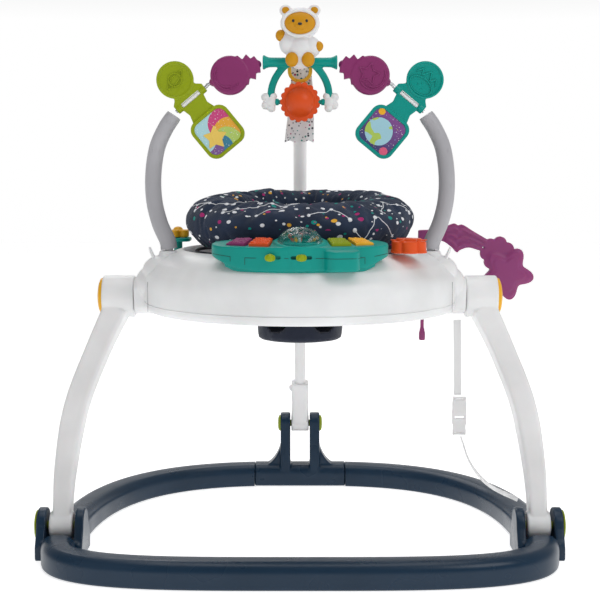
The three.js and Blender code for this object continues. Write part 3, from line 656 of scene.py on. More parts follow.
def build_buckle(x, y, z):
    """A side-release buckle: a frame for the socket, two prongs and a ladder bar at each end."""
    place = at(x, y, z) @ UPRIGHT
    socket = prism_mesh(rounded_rect(22, 26, 5, cy=13), -4.2, 4.2)
    tongue = prism_mesh(rounded_rect(20, 22, 4, cy=-15), -3.2, 3.2)
    prongs = [prism_mesh(rounded_rect(4, 24, 1.8, cx=s * 9.4, cy=-2), -2.6, 2.6) for s in (-1, 1)]
    bars = [moved(bar_mesh(1.8, 20, 0.6, 16), at(-10, h, 0) @ ACROSS) for h in (29, -29)]
    rims = [prism_mesh(rounded_rect(3, 10, 1.2, cx=s * 9, cy=h), -2.4, 2.4) for s in (-1, 1)
            for h in (26, -26)]
    parts = [moved(m, place) for m in (socket, tongue, *prongs, *bars, *rims)]
    return fused("strap_side_buckle", parts, "white_plastic", "legs", 0.7, "strap_buckle", relax=3)


# --------------------------------------------------------------- floor frame
def rail_section():
    h, w, foot, crown = RING["height"] / 2, RING["width"] / 2, 5, 17
    top = arc(w - crown, h - crown, crown, 0, 90, 9) + arc(-w + crown, h - crown, crown, 90, 180, 9)
    return arc(-w + foot, -h + foot, foot, 180, 270, 4) + arc(w - foot, -h + foot, foot, 270, 360, 4) + top


def ring_line(depth, power, start, end, count):
    def point(t):
        a = start + (end - start) * t
        c, s = math.cos(a), math.sin(a)
        stretch = lambda v: math.copysign(abs(v) ** (2 / power), v)
        return RING["half"] * stretch(c), FOOT.y + depth * stretch(s), RING["height"] / 2
    return evenly([point(i / 2400) for i in range(2401)], count)


def build_ring():
    front = ring_line(RING["front"], RING["front_power"], -math.pi + 0.02, -0.02, 220)
    reach = 42.3
    cut_front = ((0, FOOT.y - reach, 0), (0, 1, 0))
    mesh = trimmed(sweep_mesh(front, rail_section(), (0, 0, 1)), cut_front)
    piece("front_rail", *mesh, "navy_plastic", "base", "base_front_rail", bevel=1.2, angle=60)
    for side, sign in SIDES:
        rear = ring_line(RING["rear"], RING["rear_power"], 0.01, math.pi / 2 - 0.01, 170)
        rear = [Vector((sign * p.x, p.y, p.z)) for p in rear]
        planes = ((0, FOOT.y + reach, 0), (0, -1, 0)), ((sign * 84.3, 0, 0), (-sign, 0, 0))
        mesh = trimmed(sweep_mesh(rear, rail_section(), (0, 0, 1)), *planes)
        piece(f"rear_{side}_rail", *mesh, "navy_plastic", "base", f"base_rear_{side}_rail", bevel=1.2,
              angle=60)
        build_screw_covers(side, sign)


def build_screw_covers(side, sign):
    """Two round covers let into the inner flank of the rail."""
    cover = lathe_mesh([(0, -1.2), (4, -1.2), (4.6, 0), (4, 0.6), (0, 0.6)], 28)
    flank = sign * (RING["half"] - 24.4)
    covers = [moved(cover, at(flank, FOOT.y + y, 24) @ ACROSS) for y in (86, 114)]
    piece(f"{side}_rail_screw_covers", *merged(*covers), "navy_plastic", "base", material=DARK)


def hub_profile():
    reach, z, r = 42, 45, 27
    return [(-reach, 0), (reach, 0), (reach, 20), *arc(0, z, r, 4, 176, 28), (-reach, 20)]


def across_mesh(outline, x0, x1):
    """A prism along X of an outline drawn in Y and Z."""
    return moved(prism_mesh(outline, x0, x1),
                 Matrix(((0, 0, 1, 0), (1, 0, 0, 0), (0, 1, 0, 0), (0, 0, 0, 1))))


def build_feet():
    for side, sign in SIDES:
        base = at(sign * FOOT.x, FOOT.y, 0)
        blocks = [across_mesh(hub_profile(), 22, 36), across_mesh(hub_profile(), -36, -22)]
        floor = [(-42, 0), (42, 0), (42, 21.5), (-42, 21.5)]
        blocks.append(across_mesh(floor, -30, 30))
        wall = [(-42, 10), (-28, 10), (-29, 26), (-32, 29), (-38, 29), (-42, 25)]
        blocks.append(across_mesh(wall, -30, 30))
        blocks = [moved(b, base) for b in blocks]
        fused(f"{side}_foot_clevis", blocks, "navy_plastic", "base", 1.7, f"{side}_foot_hub", relax=5)
        cap = [(0, -70), (6, -70), (6, 0.3), (21, 0.3), (23, 1.2), (23, 2.4), (21.5, 3.6), (14, 5.2), (0, 6)]
        place = at(sign * (FOOT.x + 36), FOOT.y, FOOT.z) @ turn("Y", sign * 90)
        mesh = moved(lathe_mesh(cap, 64), place)
        piece(f"{side}_foot_cap", *mesh, "lime_plastic", "base", f"{side}_foot_pin", angle=40)


def build_rear_bracket():
    rail = sweep_mesh([(x, REAR.y, 20) for x in (-84, 0, 84)], rail_section(), (0, 0, 1))
    ear = [(-25, 15), (25, 15), (21, 100), *arc(0, REAR.z, 20, 5, 175, 24), (-21, 100)]
    parts = [rail]
    for sign in (-1, 1):
        x0, x1 = (18, 36) if sign > 0 else (-36, -18)
        parts.append(moved(across_mesh(ear, x0, x1), at(0, REAR.y, 0)))
        curve = [(sign * (34 + 42 * (1 - math.cos(t))), 34 + 62 * (1 - math.sin(t)))
                 for t in np.linspace(0.05, 1.5, 14)]
        web = [(sign * 30, 22), (sign * 78, 24), *curve[::-1], (sign * 30, 98)]
        parts.append(moved(prism_mesh(web, -16, 16), at(0, REAR.y, 0) @ UPRIGHT))
    fused("rear_clevis", parts, "navy_plastic", "base", 1.8, "rear_bracket", relax=4)
    cap = [(0, -41.5), (9, -41), (14, -39), (15, -36.3), (6, -36.3), (6, 36.3), (15, 36.3), (14, 39),
           (9, 41), (0, 41.5)]
    mesh = moved(lathe_mesh(cap, 48), at(0, REAR.y, REAR.z) @ ACROSS)
    piece("rear_pin", *mesh, "lime_plastic", "base", "rear_bracket_pin", angle=40)


# ---------------------------------------------------------------------- legs
LEG_LENGTH = math.hypot(HUB.y - FOOT.y, HUB.z - FOOT.z)
LEG_LEAN = math.degrees(math.atan2(HUB.y - FOOT.y, HUB.z - FOOT.z))


def leg_flare(t):
    """How much the leg's section grows from the foot, at 0, to the hub, at 1."""
    return 1 + 0.24 * min(1, max(0, (t - 0.12) / 0.3)) + 0.14 * max(0, (t - 0.72) / 0.28) ** 1.6


def build_legs():
    for side, sign in SIDES:
        place = at(0, FOOT.y, FOOT.z) @ turn("X", -LEG_LEAN)
        path = smooth_path([(sign * FOOT.x, 0, 0), (sign * (FOOT.x - 2), 0, 80),
                            (sign * (FOOT.x - 16), 0, 180),
                            (sign * (FOOT.x - 45), 0, 265), (sign * 290, 0, LEG_LENGTH - 22)], 70)
        section = rounded_rect(36, 28, 5, 5)
        shaft = sweep_mesh(path, [(a, b) for b, a in section], (0, 1, 0), scale=leg_flare)
        eye = moved(bar_mesh(21, 36, 2), at(sign * FOOT.x - 18, 0, 0) @ ACROSS)
        hub = moved(bar_mesh(33, 50.7, 2, 72), at(260.3 if sign > 0 else -311, 0, LEG_LENGTH) @ ACROSS)
        parts = [moved(m, place) for m in (shaft, eye, hub)]
        fused(f"{side}_leg_moulding", parts, "white_plastic", "legs", 1.7, f"{side}_leg", relax=3)
        dome = [(0, -4), (28.4, -4), (29, 0), (29, 2.4), (27.6, 4.2), (22, 6.4), (12, 8.3), (0, 9)]
        mesh = moved(lathe_mesh(dome, 72), at(sign * 311, HUB.y, HUB.z) @ turn("Y", sign * 90))
        piece(f"{side}_release_button", *mesh, "yellow_plastic", f"{side}_button", f"{side}_fold_button",
              angle=50)


def build_rear_leg():
    lean = math.degrees(math.atan2(REAR.y - TOP_PIVOT.y, TOP_PIVOT.z - REAR.z))
    length = math.hypot(TOP_PIVOT.y - REAR.y, TOP_PIVOT.z - REAR.z)
    place = at(*REAR) @ turn("X", lean)
    body = prism_mesh(rounded_rect(31, 26, 6, 5), 0, 84)
    eye = moved(bar_mesh(15, 32, 1.5), at(-16, 0, 0) @ ACROSS)
    fused("rear_sleeve_moulding", [moved(body, place), moved(eye, place)], "white_plastic", "rear_leg", 1.4,
          "rear_sleeve", relax=4)
    post = merged(moved(bar_mesh(10, length - 31, 1), place @ at(0, 0, 25)),
                  moved(bar_mesh(12, 18, 1), place @ at(-9, 0, length) @ ACROSS))
    piece("rear_tube", *post, "white_plastic", "rear_leg", "rear_leg_post", angle=40)
    lever = [(-14.8, 48), (-11.6, 48), (-11.6, 76), (-19.5, 76), (-20.4, 73.4), (-19.5, 71), (-14.8, 66)]
    mesh = moved(prism_mesh(lever, -5, 5), place @ UPRIGHT)
    piece("rear_latch_lever", *mesh, "white_plastic", "latch", "rear_latch", bevel=1.0)


# ---------------------------------------------------------------------- tray
def tray_top_at(r):
    t = min(1, max(0, (r - 182) / 63))
    return 464 - 36 * t ** 1.7


SPRING_CIRCLE = 160  # radius on which the three seat springs stand


def spring_at(i):
    a = math.pi / 2 + i * 2 * math.pi / 3
    return SPRING_CIRCLE * math.cos(a), HUB.y + SPRING_CIRCLE * math.sin(a)


def build_tray():
    place = at(0, HUB.y, 0)
    crest = [(182, 456), (182.6, 461), (185, 464)]
    top = [(r, tray_top_at(r)) for r in np.linspace(188, 229, 12)]
    shoulder = [(233.5, 434.4), (237.6, 431), (240.9, 426.6), (243.2, 421.4), (244.6, 415), (245, 408)]
    skirt = [(245, 395), (244.7, 385), (243.4, 384.6), (243.4, 383.2), (244.5, 382.8), (243.6, 377),
             (241.6, 372.4), (238.6, 370)]
    inner = [(236.5, 371.5), (240.5, 380), (241.4, 410), (238, 421), (229, 430), (205, tray_top_at(205) - 4),
             (186, 458), (185.5, 376), (182, 376)]
    shell = moved(lathe_mesh(crest + top + shoulder + skirt + inner, 200, STRETCH, closed=True), place)
    piece("tray_shell", *shell, "white_plastic", "tray", "tray_top", angle=50)
    lower = [(140, 372), (215, 372), (215, 375.5), (144, 375.5), (144, 382), (140, 382)]
    mesh = moved(lathe_mesh(lower, 128, STRETCH, closed=True), place)
    piece("tray_floor", *mesh, "white_plastic", "tray", "tray_bottom", angle=35)
    for side, sign in SIDES:
        build_tray_side(side, sign)
    cup = lathe_mesh([(12, 375.6), (14, 375.6), (14, 383), (12, 383)], 40, closed=True)
    spring_cups = [moved(cup, at(*spring_at(i), 0)) for i in range(3)]
    piece("spring_cups", *merged(*spring_cups), "white_plastic", "tray")


def build_tray_side(side, sign):
    """The lug that carries the tray on its leg, with the mound that holds the arm and its release hook."""
    x0, x1 = (226, 259.4) if sign > 0 else (-259.4, -226)
    lug_outline = [*arc(18, 397, 22, 20, 90, 8), *arc(-18, 397, 22, 90, 160, 8),
                   *arc(-22, 377, 12, 190, 270, 6),
                   *arc(22, 377, 12, 270, 350, 6)]
    lug = moved(across_mesh(lug_outline, x0, x1), at(0, HUB.y, 0))
    boss = moved(bar_mesh(28, 30, 2, 64), at(230 if sign > 0 else -260, HUB.y, HUB.z) @ ACROSS)
    mound = egg_mesh(31, 36, 24, (sign * 214, ARCH_Y + 6, 432))
    sole = egg_mesh(36, 40, 30, (sign * 222, ARCH_Y + 20, 412))
    cup = moved(bar_mesh(15, 26, 2, 40), at(sign * 203.5, ARCH_Y, 437))
    fused(f"{side}_tray_lug", [lug, boss, mound, sole, cup], "white_plastic", "tray", 1.8, relax=8)
    hook = smooth_path([(sign * 214, ARCH_Y - 2, 444), (sign * 224, ARCH_Y - 3, 450),
                        (sign * 229, ARCH_Y - 3, 458),
                        (sign * 233, ARCH_Y - 2, 468)], 20)
    swell = lambda t: 0.75 + 0.5 * math.sin(math.pi * min(1, t * 0.95)) ** 2 * (0.4 + t)
    mesh = sweep_mesh(hook, rounded_rect(13, 4.2, 2, 5), (sign, 0, 1), scale=swell)
    piece(f"{side}_arm_release", *mesh, "white_plastic", "tray", bevel=1.2, angle=40)
    r, angle = 245.1, math.atan2(-84 / STRETCH, 231.5)
    seam = prism_mesh(rounded_rect(1.2, 46, 0.5, 3), -0.25, 0.45)
    spot = at(sign * r * math.cos(angle), HUB.y + r * STRETCH * math.sin(angle), 395)
    facing = turn("Z", sign * math.degrees(math.pi / 2 + angle))
    piece(f"{side}_tray_seam", *moved(seam, spot @ facing @ UPRIGHT), "white_plastic", "tray", material=SEAM)


def build_tray_rear():
    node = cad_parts["rear_socket"]
    node.data.materials.clear()
    node.data.materials.append(M["white_plastic"])
    edge = node.modifiers.new("Edge", "BEVEL")
    edge.width = 0.0008
    edge.segments = 2
    edge.angle_limit = math.radians(40)
    edge.harden_normals = True
    y, z = TOP_PIVOT.y, TOP_PIVOT.z
    path = smooth_path([(0, y, z + 35.6), (0, y + 2, 500), (0, y - 6, 600), (0, y - 70, 692),
                        (0, y - 190, 748),
                        (0, ARCH_Y + 22, 763)], 90)
    mesh = sweep_mesh(path, disc(11.5, 40), (1, 0, 0))
    piece("toy_post_tube", *mesh, "white_plastic", "tray", "toy_post", bevel=1.5, angle=50)


# ---------------------------------------------------------------------- seat
def build_seat_frame():
    centre = at(0, HUB.y, 0)
    rims = (("seat_carrier_ring", [(146, 431), (173, 431), (173, 437), (171, 439), (148, 439), (146, 437)],
             "carrier", "seat_carrier"),
            ("seat_ring_moulding", [(118, 440), (168, 440), (168, 448), (166, 450), (120, 456), (118, 454)],
             "seat", "seat_ring"))
    for name, profile, body, node in rims:
        piece(name, *moved(lathe_mesh(profile, 128, closed=True), centre), "white_plastic", body, node,
              angle=30)
    for i in range(3):
        x, y = spring_at(i)
        turns = 6
        path = [(x + 10 * math.cos(t), y + 10 * math.sin(t), 379.2 + 48.6 * k / (turns * 20))
                for k, t in ((k, 2 * math.pi * k / 20) for k in range(turns * 20 + 1))]
        spring = piece(f"spring_coil_{i + 1}", *sweep_mesh(path, disc(1.5, 10), (0, 0, 1)), "steel", "tray",
                       f"spring_{i + 1}", angle=60)
        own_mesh(spring)


PAD = dict(mid=132, rx=44, z0=459, z1=551, around=264, rows=56)


def pad_point(theta, phi):
    """The pad's surface before the filling swells it.

    theta goes round the seat from the front, phi round the roll."""
    back = 0.5 - 0.5 * math.cos(theta)
    rx = PAD["rx"] - 6 + 1.5 * back
    rz = (PAD["z1"] - PAD["z0"]) / 2 - 8 + 7 * back
    mid = (PAD["z0"] + PAD["z1"]) / 2 - 3 + 8 * back
    gather = math.cos(theta * 13) * 0.5 + math.cos(theta * 21 + 1.3) * 0.3
    inner = max(0, -math.cos(phi))
    upper = max(0, math.sin(phi))
    pinch = 1 - (0.05 + 0.05 * back) * max(0, gather) * (inner + 0.5 * upper)
    u = abs(math.cos(phi)) ** 0.85 * math.copysign(1, math.cos(phi))
    v = abs(math.sin(phi)) ** 0.9 * math.copysign(1, math.sin(phi))
    r = PAD["mid"] + rx * u * pinch
    z = mid + rz * v * pinch
    wobble = noise.noise(Vector((math.cos(theta) * 3, math.sin(theta) * 3, phi * 0.7))) * 3.0
    return Vector((r * math.sin(theta), -r * math.cos(theta), max(PAD["z0"], z + wobble * upper)))


def build_pad():
    around, rows = PAD["around"], PAD["rows"]
    verts = [pad_point(2 * math.pi * i / around, 2 * math.pi * j / rows) for i in range(around)
             for j in range(rows)]
    faces = [[i * rows + j, (i + 1) % around * rows + j, (i + 1) % around * rows + (j + 1) % rows,
              i * rows + (j + 1) % rows]
             for i in range(around) for j in range(rows)]
    pad = piece("seat_cushion", verts, faces, "navy_fabric", "seat", place=at(0, HUB.y, 0), angle=180)
    swell(pad, around, rows)
    wrinkle(pad)
    modifier = pad.modifiers.new("Smooth", "SUBSURF")
    modifier.levels = modifier.render_levels = 1
    map_roll(pad, around, rows)
    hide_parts("seat_pad")
    build_print(pad, around, rows)
    build_piping()


def swell(pad, around, rows):
    """Filling: the cover is sewn down along its foot and at its gathers, and pressed out between them."""
    pins = pad.vertex_groups.new(name="sewn")
    for i in range(around):
        gathered = (i * 13 / around) % 1 < 0.09
        for j in range(rows):
            phi = 2 * math.pi * j / rows
            in_gather = gathered and math.cos(phi) < 0.1 and math.sin(phi) > -0.2
            weight = 1.0 if math.sin(phi) < -0.85 else (0.75 if in_gather else 0)
            if weight:
                pins.add([i * rows + j], weight, "REPLACE")
    rest = np.array([v.co for v in pad.data.vertices])
    cloth = pad.modifiers.new("Filling", "CLOTH")
    settings = cloth.settings
    settings.quality = 5
    settings.mass = 0.3
    settings.use_pressure = True
    settings.uniform_pressure_force = 4
    settings.effector_weights.gravity = 0
    settings.vertex_group_mass = "sewn"
    settings.shrink_min = -0.06
    settings.tension_stiffness = 12
    settings.bending_stiffness = 0.25
    cloth.point_cache.frame_end = 20
    for step in range(1, 21):
        scene.frame_set(step)
    graph = bpy.context.evaluated_depsgraph_get()
    swollen = np.array([v.co for v in pad.evaluated_get(graph).data.vertices])
    pad.modifiers.remove(cloth)
    scene.frame_set(1)
    move = swollen - rest
    size = np.linalg.norm(move, axis=1, keepdims=True)
    furthest, sole = 0.009, 0.4585
    move *= np.minimum(1, furthest / np.maximum(size, 1e-9))
    placed = rest + move
    placed[:, 2] = np.maximum(placed[:, 2], sole)
    pad.data.vertices.foreach_set("co", placed.astype(np.float32).ravel())
    pad.data.update()


def wrinkle(pad):
    """Soft creases that run from the inner seam over the top."""
    for v in pad.data.vertices:
        x, y, z = v.co.x, v.co.y - HUB.y * MM, v.co.z
        theta, r = math.atan2(x, -y), math.hypot(x, y)
        near = max(0, min(1, (0.165 - r) / 0.07))
        crease = noise.noise(Vector((theta * 7, r * 14,
                                     z * 10))) + 0.5 * noise.noise(Vector((theta * 17, r * 30, z * 24)))
        v.co += v.normal * 0.0032 * crease * (0.25 + near)
    pad.data.update()


def map_roll(pad, around, rows):
    """Lays the print flat on the roll: one unit of UV is a metre."""
    layer = pad.data.uv_layers.new(name="print")
    pitch = 2 * math.pi * PAD["mid"] * MM / around
    girth = 2 * math.pi * 42 * MM / rows
    for polygon in pad.data.polygons:
        i, j = divmod(polygon.index, rows)
        corners = [(i, j), (i + 1, j), (i + 1, j + 1), (i, j + 1)]
        first = i * rows + j
        order = list(polygon.vertices)
        shift = order.index(first)
        clockwise = order[(shift + 1) % 4] != (i + 1) % around * rows + j
        for k in range(4):
            a, b = corners[(4 - k) % 4 if clockwise else k]
            layer.data[polygon.loop_start + (shift + k) % 4].uv = (a * pitch, b * girth)


def build_print(pad, around, rows):
    """Thin printed lines that join white dots on the cover."""
    bpy.context.view_layer.update()
    graph = bpy.context.evaluated_depsgraph_get()
    tree = BVHTree.FromObject(pad, graph)
    draw = random.Random(5)
    verts, faces = [], []

    def surface(theta, phi, lift):
        spot, normal, *_ = tree.find_nearest(pad_point(theta, phi) * MM + Vector((0, HUB.y * MM, 0)))
        return spot + normal * lift, normal

    def dot(theta, phi, size):
        middle, normal = surface(theta, phi, 0.0005)
        side = normal.orthogonal().normalized()
        over = normal.cross(side)
        first = len(verts)
        ring = 14
        for level, share in ((0.0005, 1), (0.0001, 1.05)):
            for k in range(ring):
                a = 2 * math.pi * k / ring
                out = (side * math.cos(a) + over * math.sin(a)) * size * share
                spot, up, *_ = tree.find_nearest(middle + out)
                verts.append((spot + up * level) / MM)
        faces.append([first + k for k in range(ring)])
        faces.extend([first + k, first + ring + k, first + ring + (k + 1) % ring, first + (k + 1) % ring]
                     for k in range(ring))

    def line(a, b):
        steps = 22
        first = len(verts)
        points = [surface(a[0] + (b[0] - a[0]) * t / steps, a[1] + (b[1] - a[1]) * t / steps, 0.0004)
                  for t in range(steps + 1)]
        for k, (p, normal) in enumerate(points):
            ahead = points[min(k + 1, steps)][0] - points[max(k - 1, 0)][0]
            side = ahead.cross(normal).normalized() * 0.00055
            verts.extend([(p + side) / MM, (p - side) / MM, (p - side - normal * 0.0005) / MM,
                          (p + side - normal * 0.0005) / MM])
        for k in range(steps):
            q = first + 4 * k
            faces.extend([q + c, q + (c + 1) % 4, q + 4 + (c + 1) % 4, q + 4 + c] for c in range(4))
        faces.extend([[first, first + 1, first + 2, first + 3],
                      [first + 4 * steps + c for c in (3, 2, 1, 0)]])

    groups = 15
    for g in range(groups):
        theta = 2 * math.pi * (g + 0.3 * draw.random()) / groups
        phi = draw.uniform(-0.1, 0.7)
        chain = [(theta, phi)]
        for _ in range(draw.choice((2, 3, 3, 4))):
            theta += draw.uniform(0.1, 0.24)
            phi += draw.uniform(-0.75, 0.75) if phi < 1.8 else -0.5
            phi = max(-0.35, min(2.9, phi))
            chain.append((theta, phi))
        for a, b in zip(chain, chain[1:]):
            line(a, b)
        for theta_dot, phi_dot in chain:
            dot(theta_dot, phi_dot, draw.uniform(0.0024, 0.0036))
    piece("seat_constellations", verts, faces, "navy_fabric", "seat", material=INK, angle=180)


def build_piping():
    """The sewn edges of the cover: a cord round the outside foot and one inside the mouth."""
    parts = []
    for r, z, thick in ((163, 460.5, 2.4), (101, 460.5, 2.2)):
        path = [(r * math.cos(a), HUB.y + r * math.sin(a), z + 0.5 * math.sin(9 * a)) for a in full_turn(160)]
        parts.append(sweep_mesh(path, disc(thick, 10), (0, 0, 1), closed=True))
    piece("seat_piping", *merged(*parts), "navy_fabric", "seat", material=PLAIN_FABRIC, angle=180)


def sling_profile(depth):
    """The sling's outside radius; depth runs from 0 at the mouth to 1 at the flat base."""
    return 63 + 49 * max(0, 1 - depth / 0.6) ** 0.8 + 3 * (1 - depth)


def build_sling():
    around, rows = 160, 44
    top, bottom = 452, 324
    verts = []
    centre_z, hole_r = 372, 36
    for j in range(rows + 1):
        t = j / rows
        z = top - (top - bottom) * min(1, t / 0.86)
        flat = max(0, (t - 0.86) / 0.14)
        for i in range(around):
            a = 2 * math.pi * i / around
            r = sling_profile(min(1, t / 0.86)) * (1 - flat * 0.97)
            fold = 0 if flat else 1.4 * noise.noise(Vector((math.cos(a) * 4, math.sin(a) * 4, z * 0.03)))
            verts.append((r * math.cos(a) + fold * math.cos(a), HUB.y + (r + fold) * math.sin(a), z))
    faces = []
    for j in range(rows):
        for i in range(around):
            a = 2 * math.pi * (i + 0.5) / around
            z = (verts[j * around + i][2] + verts[(j + 1) * around + i][2]) / 2
            away = min(abs(math.remainder(a + math.pi / 2 - s * 0.62, 2 * math.pi)) for s in (-1, 1))
            if math.hypot(away * 88, z - centre_z) < hole_r and z > bottom + 4:
                continue
            faces.append([j * around + i, j * around + (i + 1) % around, (j + 1) * around + (i + 1) % around,
                          (j + 1) * around + i])
    sling = piece("seat_sling_cloth", verts, faces, "navy_fabric", "seat", "seat_sling", angle=180,
                  material=PLAIN_FABRIC)
    thick = sling.modifiers.new("Thickness", "SOLIDIFY")
    thick.thickness = 0.0035
    thick.offset = -1
    smooth = sling.modifiers.new("Smooth", "SUBSURF")
    smooth.levels = smooth.render_levels = 1
    hem = [(64 * math.cos(a), HUB.y + 64 * math.sin(a), 325.6 + 0.9 * math.sin(40 * a))
           for a in full_turn(240)]
    piece("seat_sling_hem", *sweep_mesh(hem, disc(1.6, 8), (0, 0, 1), closed=True), "navy_fabric", "seat",
          material=PLAIN_FABRIC, angle=180)


# ------------------------------------------------------------------- console
CONSOLE = dict(inner=189, outer=231, top=484, low=446, level=212, slope=0.2)
SLIDERS = (-42, 2)
DOME_Y = HUB.y - 211
SPANS = {"purple": (-0.5, -0.36), "orange": (-0.34, -0.2), "lime": (0.2, 0.34), "yellow": (0.36, 0.5)}


def fan(r0, r1, start, end, count=24):
    """A plan outline between two arcs about the seat; angles from the front, in radians."""
    outer = [(r1 * math.sin(a), -r1 * math.cos(a) * STRETCH) for a in np.linspace(start, end, count)]
    inner = [(r0 * math.sin(a), -r0 * math.cos(a) * STRETCH) for a in np.linspace(end, start, count)]
    return outer + inner


def lean(mesh):
    """Tips the console's top towards the front and lifts its underside towards the two ends."""
    top, low = CONSOLE["top"], CONSOLE["low"]
    out = []
    for x, y, z in mesh[0]:
        r, a = math.hypot(x, (y - HUB.y) / STRETCH), abs(math.atan2(x, HUB.y - y))
        end = min(1, max(0, (a - 0.3) / 0.34))
        share = (top - z) / (top - low)
        tilt = (CONSOLE["level"] - r) * CONSOLE["slope"] * min(1, max(0, 1 - share))
        out.append(Vector((x, y, z + tilt + share * 20 * end * end * (3 - 2 * end))))
    return out, mesh[1]


def console_outline(half):
    """The plan of the case: a band about the seat whose two ends taper and close round."""
    outer, inner = CONSOLE["outer"], CONSOLE["inner"]
    spread = np.linspace(-1, 1, 121)
    taper = lambda t: max(0.0, 1 - max(0, (abs(t) - 0.62) / 0.38) ** 2.4) ** 0.5
    middle = (outer + inner) / 2 + 2
    front = [(half * t, middle + (outer - middle) * taper(t)) for t in spread]
    back = [(half * t, middle - (middle - inner) * taper(t)) for t in spread[::-1]]
    return [(r * math.sin(a), -r * math.cos(a) * STRETCH) for a, r in front + back[1:-1]]


def build_console():
    top, low, centre = CONSOLE["top"], CONSOLE["low"], at(0, HUB.y, 0)
    base = moved(prism_mesh(console_outline(0.635), low, top), centre)
    lobe = moved(prism_mesh(rounded_rect(50, 44, 15, 10), low + 1, top - 3),
                 at(58, HUB.y - 232, 0) @ turn("Z", 13))
    belly = moved(prism_mesh(disc(37, 72), low + 1, top + 2), at(0, DOME_Y, 0))
    foot = moved(prism_mesh(fan(200, 226, -0.5, 0.5, 40), low - 7, low + 6), centre)
    body = fused("console_case", [lean(m) for m in (base, lobe, belly, foot)], "teal_plastic", "tray", 1.5,
                 "console", relax=7)
    bpy.context.view_layer.update()
    settle(body)
    wells = [moved(prism_mesh(fan(191.5, 223, a, b), top - 6, top + 14), centre) for a, b in SPANS.values()]
    wells = [lean(w) for w in wells]
    well = moved(prism_mesh(disc(32.5, 72), top - 3, top + 30), at(0, DOME_Y, 0))
    tracks = [moved(prism_mesh(rounded_rect(30, 5, 2.4, cx=x, cy=466), -8, 5),
                    at(0, HUB.y - 247, 0) @ UPRIGHT)
              for x in SLIDERS]
    hollow(body, *wells, well, *tracks)
    for name, (a, b) in SPANS.items():
        build_key(name, a, b)
    build_dome(at(0, DOME_Y, top - 2.6))
    for i, x in enumerate(SLIDERS):
        place = at(x, HUB.y - 243, 466) @ UPRIGHT
        knob = lathe_mesh([(0, -5), (3, -4.8), (4.8, -2.6), (5.6, 0), (5.4, 4.5), (4.4, 7), (2.6, 8.4),
                           (0, 8.9)], 40)
        grip = prism_mesh(rounded_rect(1.6, 6, 0.7), 8, 9.6)
        plate = prism_mesh(rounded_rect(15, 9.4, 4.6, 8), 3.9, 5.4)
        mesh = moved(merged(knob, grip, plate), place)
        piece(f"slider_knob_{i + 1}", *mesh, "lime_plastic", f"slider_{i + 1}", f"slider_{i + 1}", bevel=0.4)
    build_console_seams()


def build_dome(place):
    """A clear cap over a ribbed floor with loose beads."""
    shell = []
    for rx, rz, span in ((34, 27, (0, 1)), (32.2, 25.2, (1, 0))):
        shell += [(rx * math.sin(t), rz * math.cos(t)) for t in np.linspace(*span, 24) * math.pi / 2]
    piece("clear_dome", *moved(lathe_mesh(shell, 96), place), "clear_plastic", "tray", "dome", angle=60)
    plate = lathe_mesh([(0, 0.4), (31, 0.4), (31.6, 1), (31, 2.2), (0, 2.2)], 64)
    spokes = [moved(prism_mesh(rounded_rect(3, 22, 1.4, cy=15), 2, 5.4), turn("Z", 45 * k)) for k in range(8)]
    rim = band_mesh(disc(31.4, 64), disc(28.6, 64), 2, 5)
    piece("dome_floor", *moved(merged(plate, rim, *spokes), place), "teal_plastic", "tray", bevel=0.5)
    beads = random.Random(3)
    for k, slot in enumerate(("orange_plastic", "yellow_plastic", "toy_white")):
        balls = []
        for _ in range(2):
            a, r = beads.uniform(0, 6.28), beads.uniform(7, 23)
            balls.append(egg_mesh(2.4, 2.4, 2.4, (r * math.cos(a), r * math.sin(a), 7.6), 16))
        piece(f"dome_beads_{k + 1}", *moved(merged(*balls), place), slot, "tray", angle=180)


def build_key(name, a, b):
    """A textured pad: a fan-shaped key under a field of small pebbles."""
    centre = at(0, HUB.y, 0)
    top = CONSOLE["top"]
    key = moved(prism_mesh(fan(192.5, 222, a + 0.005, b - 0.005, 16), top - 3.5, top + 3), centre)
    pebbles = []
    draw = random.Random(name)
    rows, columns = 6, 7
    for i in range(rows):
        for j in range(columns):
            r = 195.5 + 24 * i / (rows - 1) + draw.uniform(-0.7, 0.7)
            t = a + 0.016 + (b - a - 0.032) * (j + 0.5 * (i % 2)) / (columns - 0.4)
            size = draw.uniform(1.9, 2.6)
            place = (r * math.sin(t), HUB.y - r * math.cos(t) * STRETCH, top + 2.9)
            pebbles.append(egg_mesh(size, size * 0.9, draw.uniform(1.2, 1.9), place, 10))
    mesh = lean(merged(key, *pebbles))
    piece(f"key_{name}_pad", *mesh, f"{name}_plastic", f"key_{name}", f"key_{name}", bevel=0.5, angle=60,
          segments=2)


def build_console_seams():
    """The dark joint line of the two halves of the case, let into its front face."""
    lines = []
    bvh = BVHTree.FromObject(bpy.data.objects["console_case"], bpy.context.evaluated_depsgraph_get())

    def on_case(x, z):
        spot, *_ = bvh.ray_cast(Vector((x, -400, z)) * MM, Vector((0, 1, 0)))
        return spot / MM if spot else None

    for x0, x1, z0, z1 in ((-128, -99, 469, 466), (-99, -99, 466, 459), (-78, -78, 465, 455),
                           (-78, -62, 465, 465),
                           (-22, -16, 465, 465), (22, 40, 465, 465), (40, 92, 465, 465), (92, 92, 465, 456),
                           (106, 126, 466, 469)):
        path = [on_case(x0 + (x1 - x0) * t, z0 + (z1 - z0) * t) for t in np.linspace(0, 1, 12)]
        path = [p for p in path if p is not None]
        if len(path) > 3:
            lines.append(sweep_mesh(path, rounded_rect(0.9, 0.9, 0.3, 2), (0, 1, 0)))
    piece("console_seams", *merged(*lines), "teal_plastic", "tray", material=SEAM_DARK)


# ----------------------------------------------------------------- tray toys
FLOWER = (-200, 40, 470)
ROLLER = (160, -195)
TEETHER = (204, 66, 480)
TEETHER_FOOT = 303


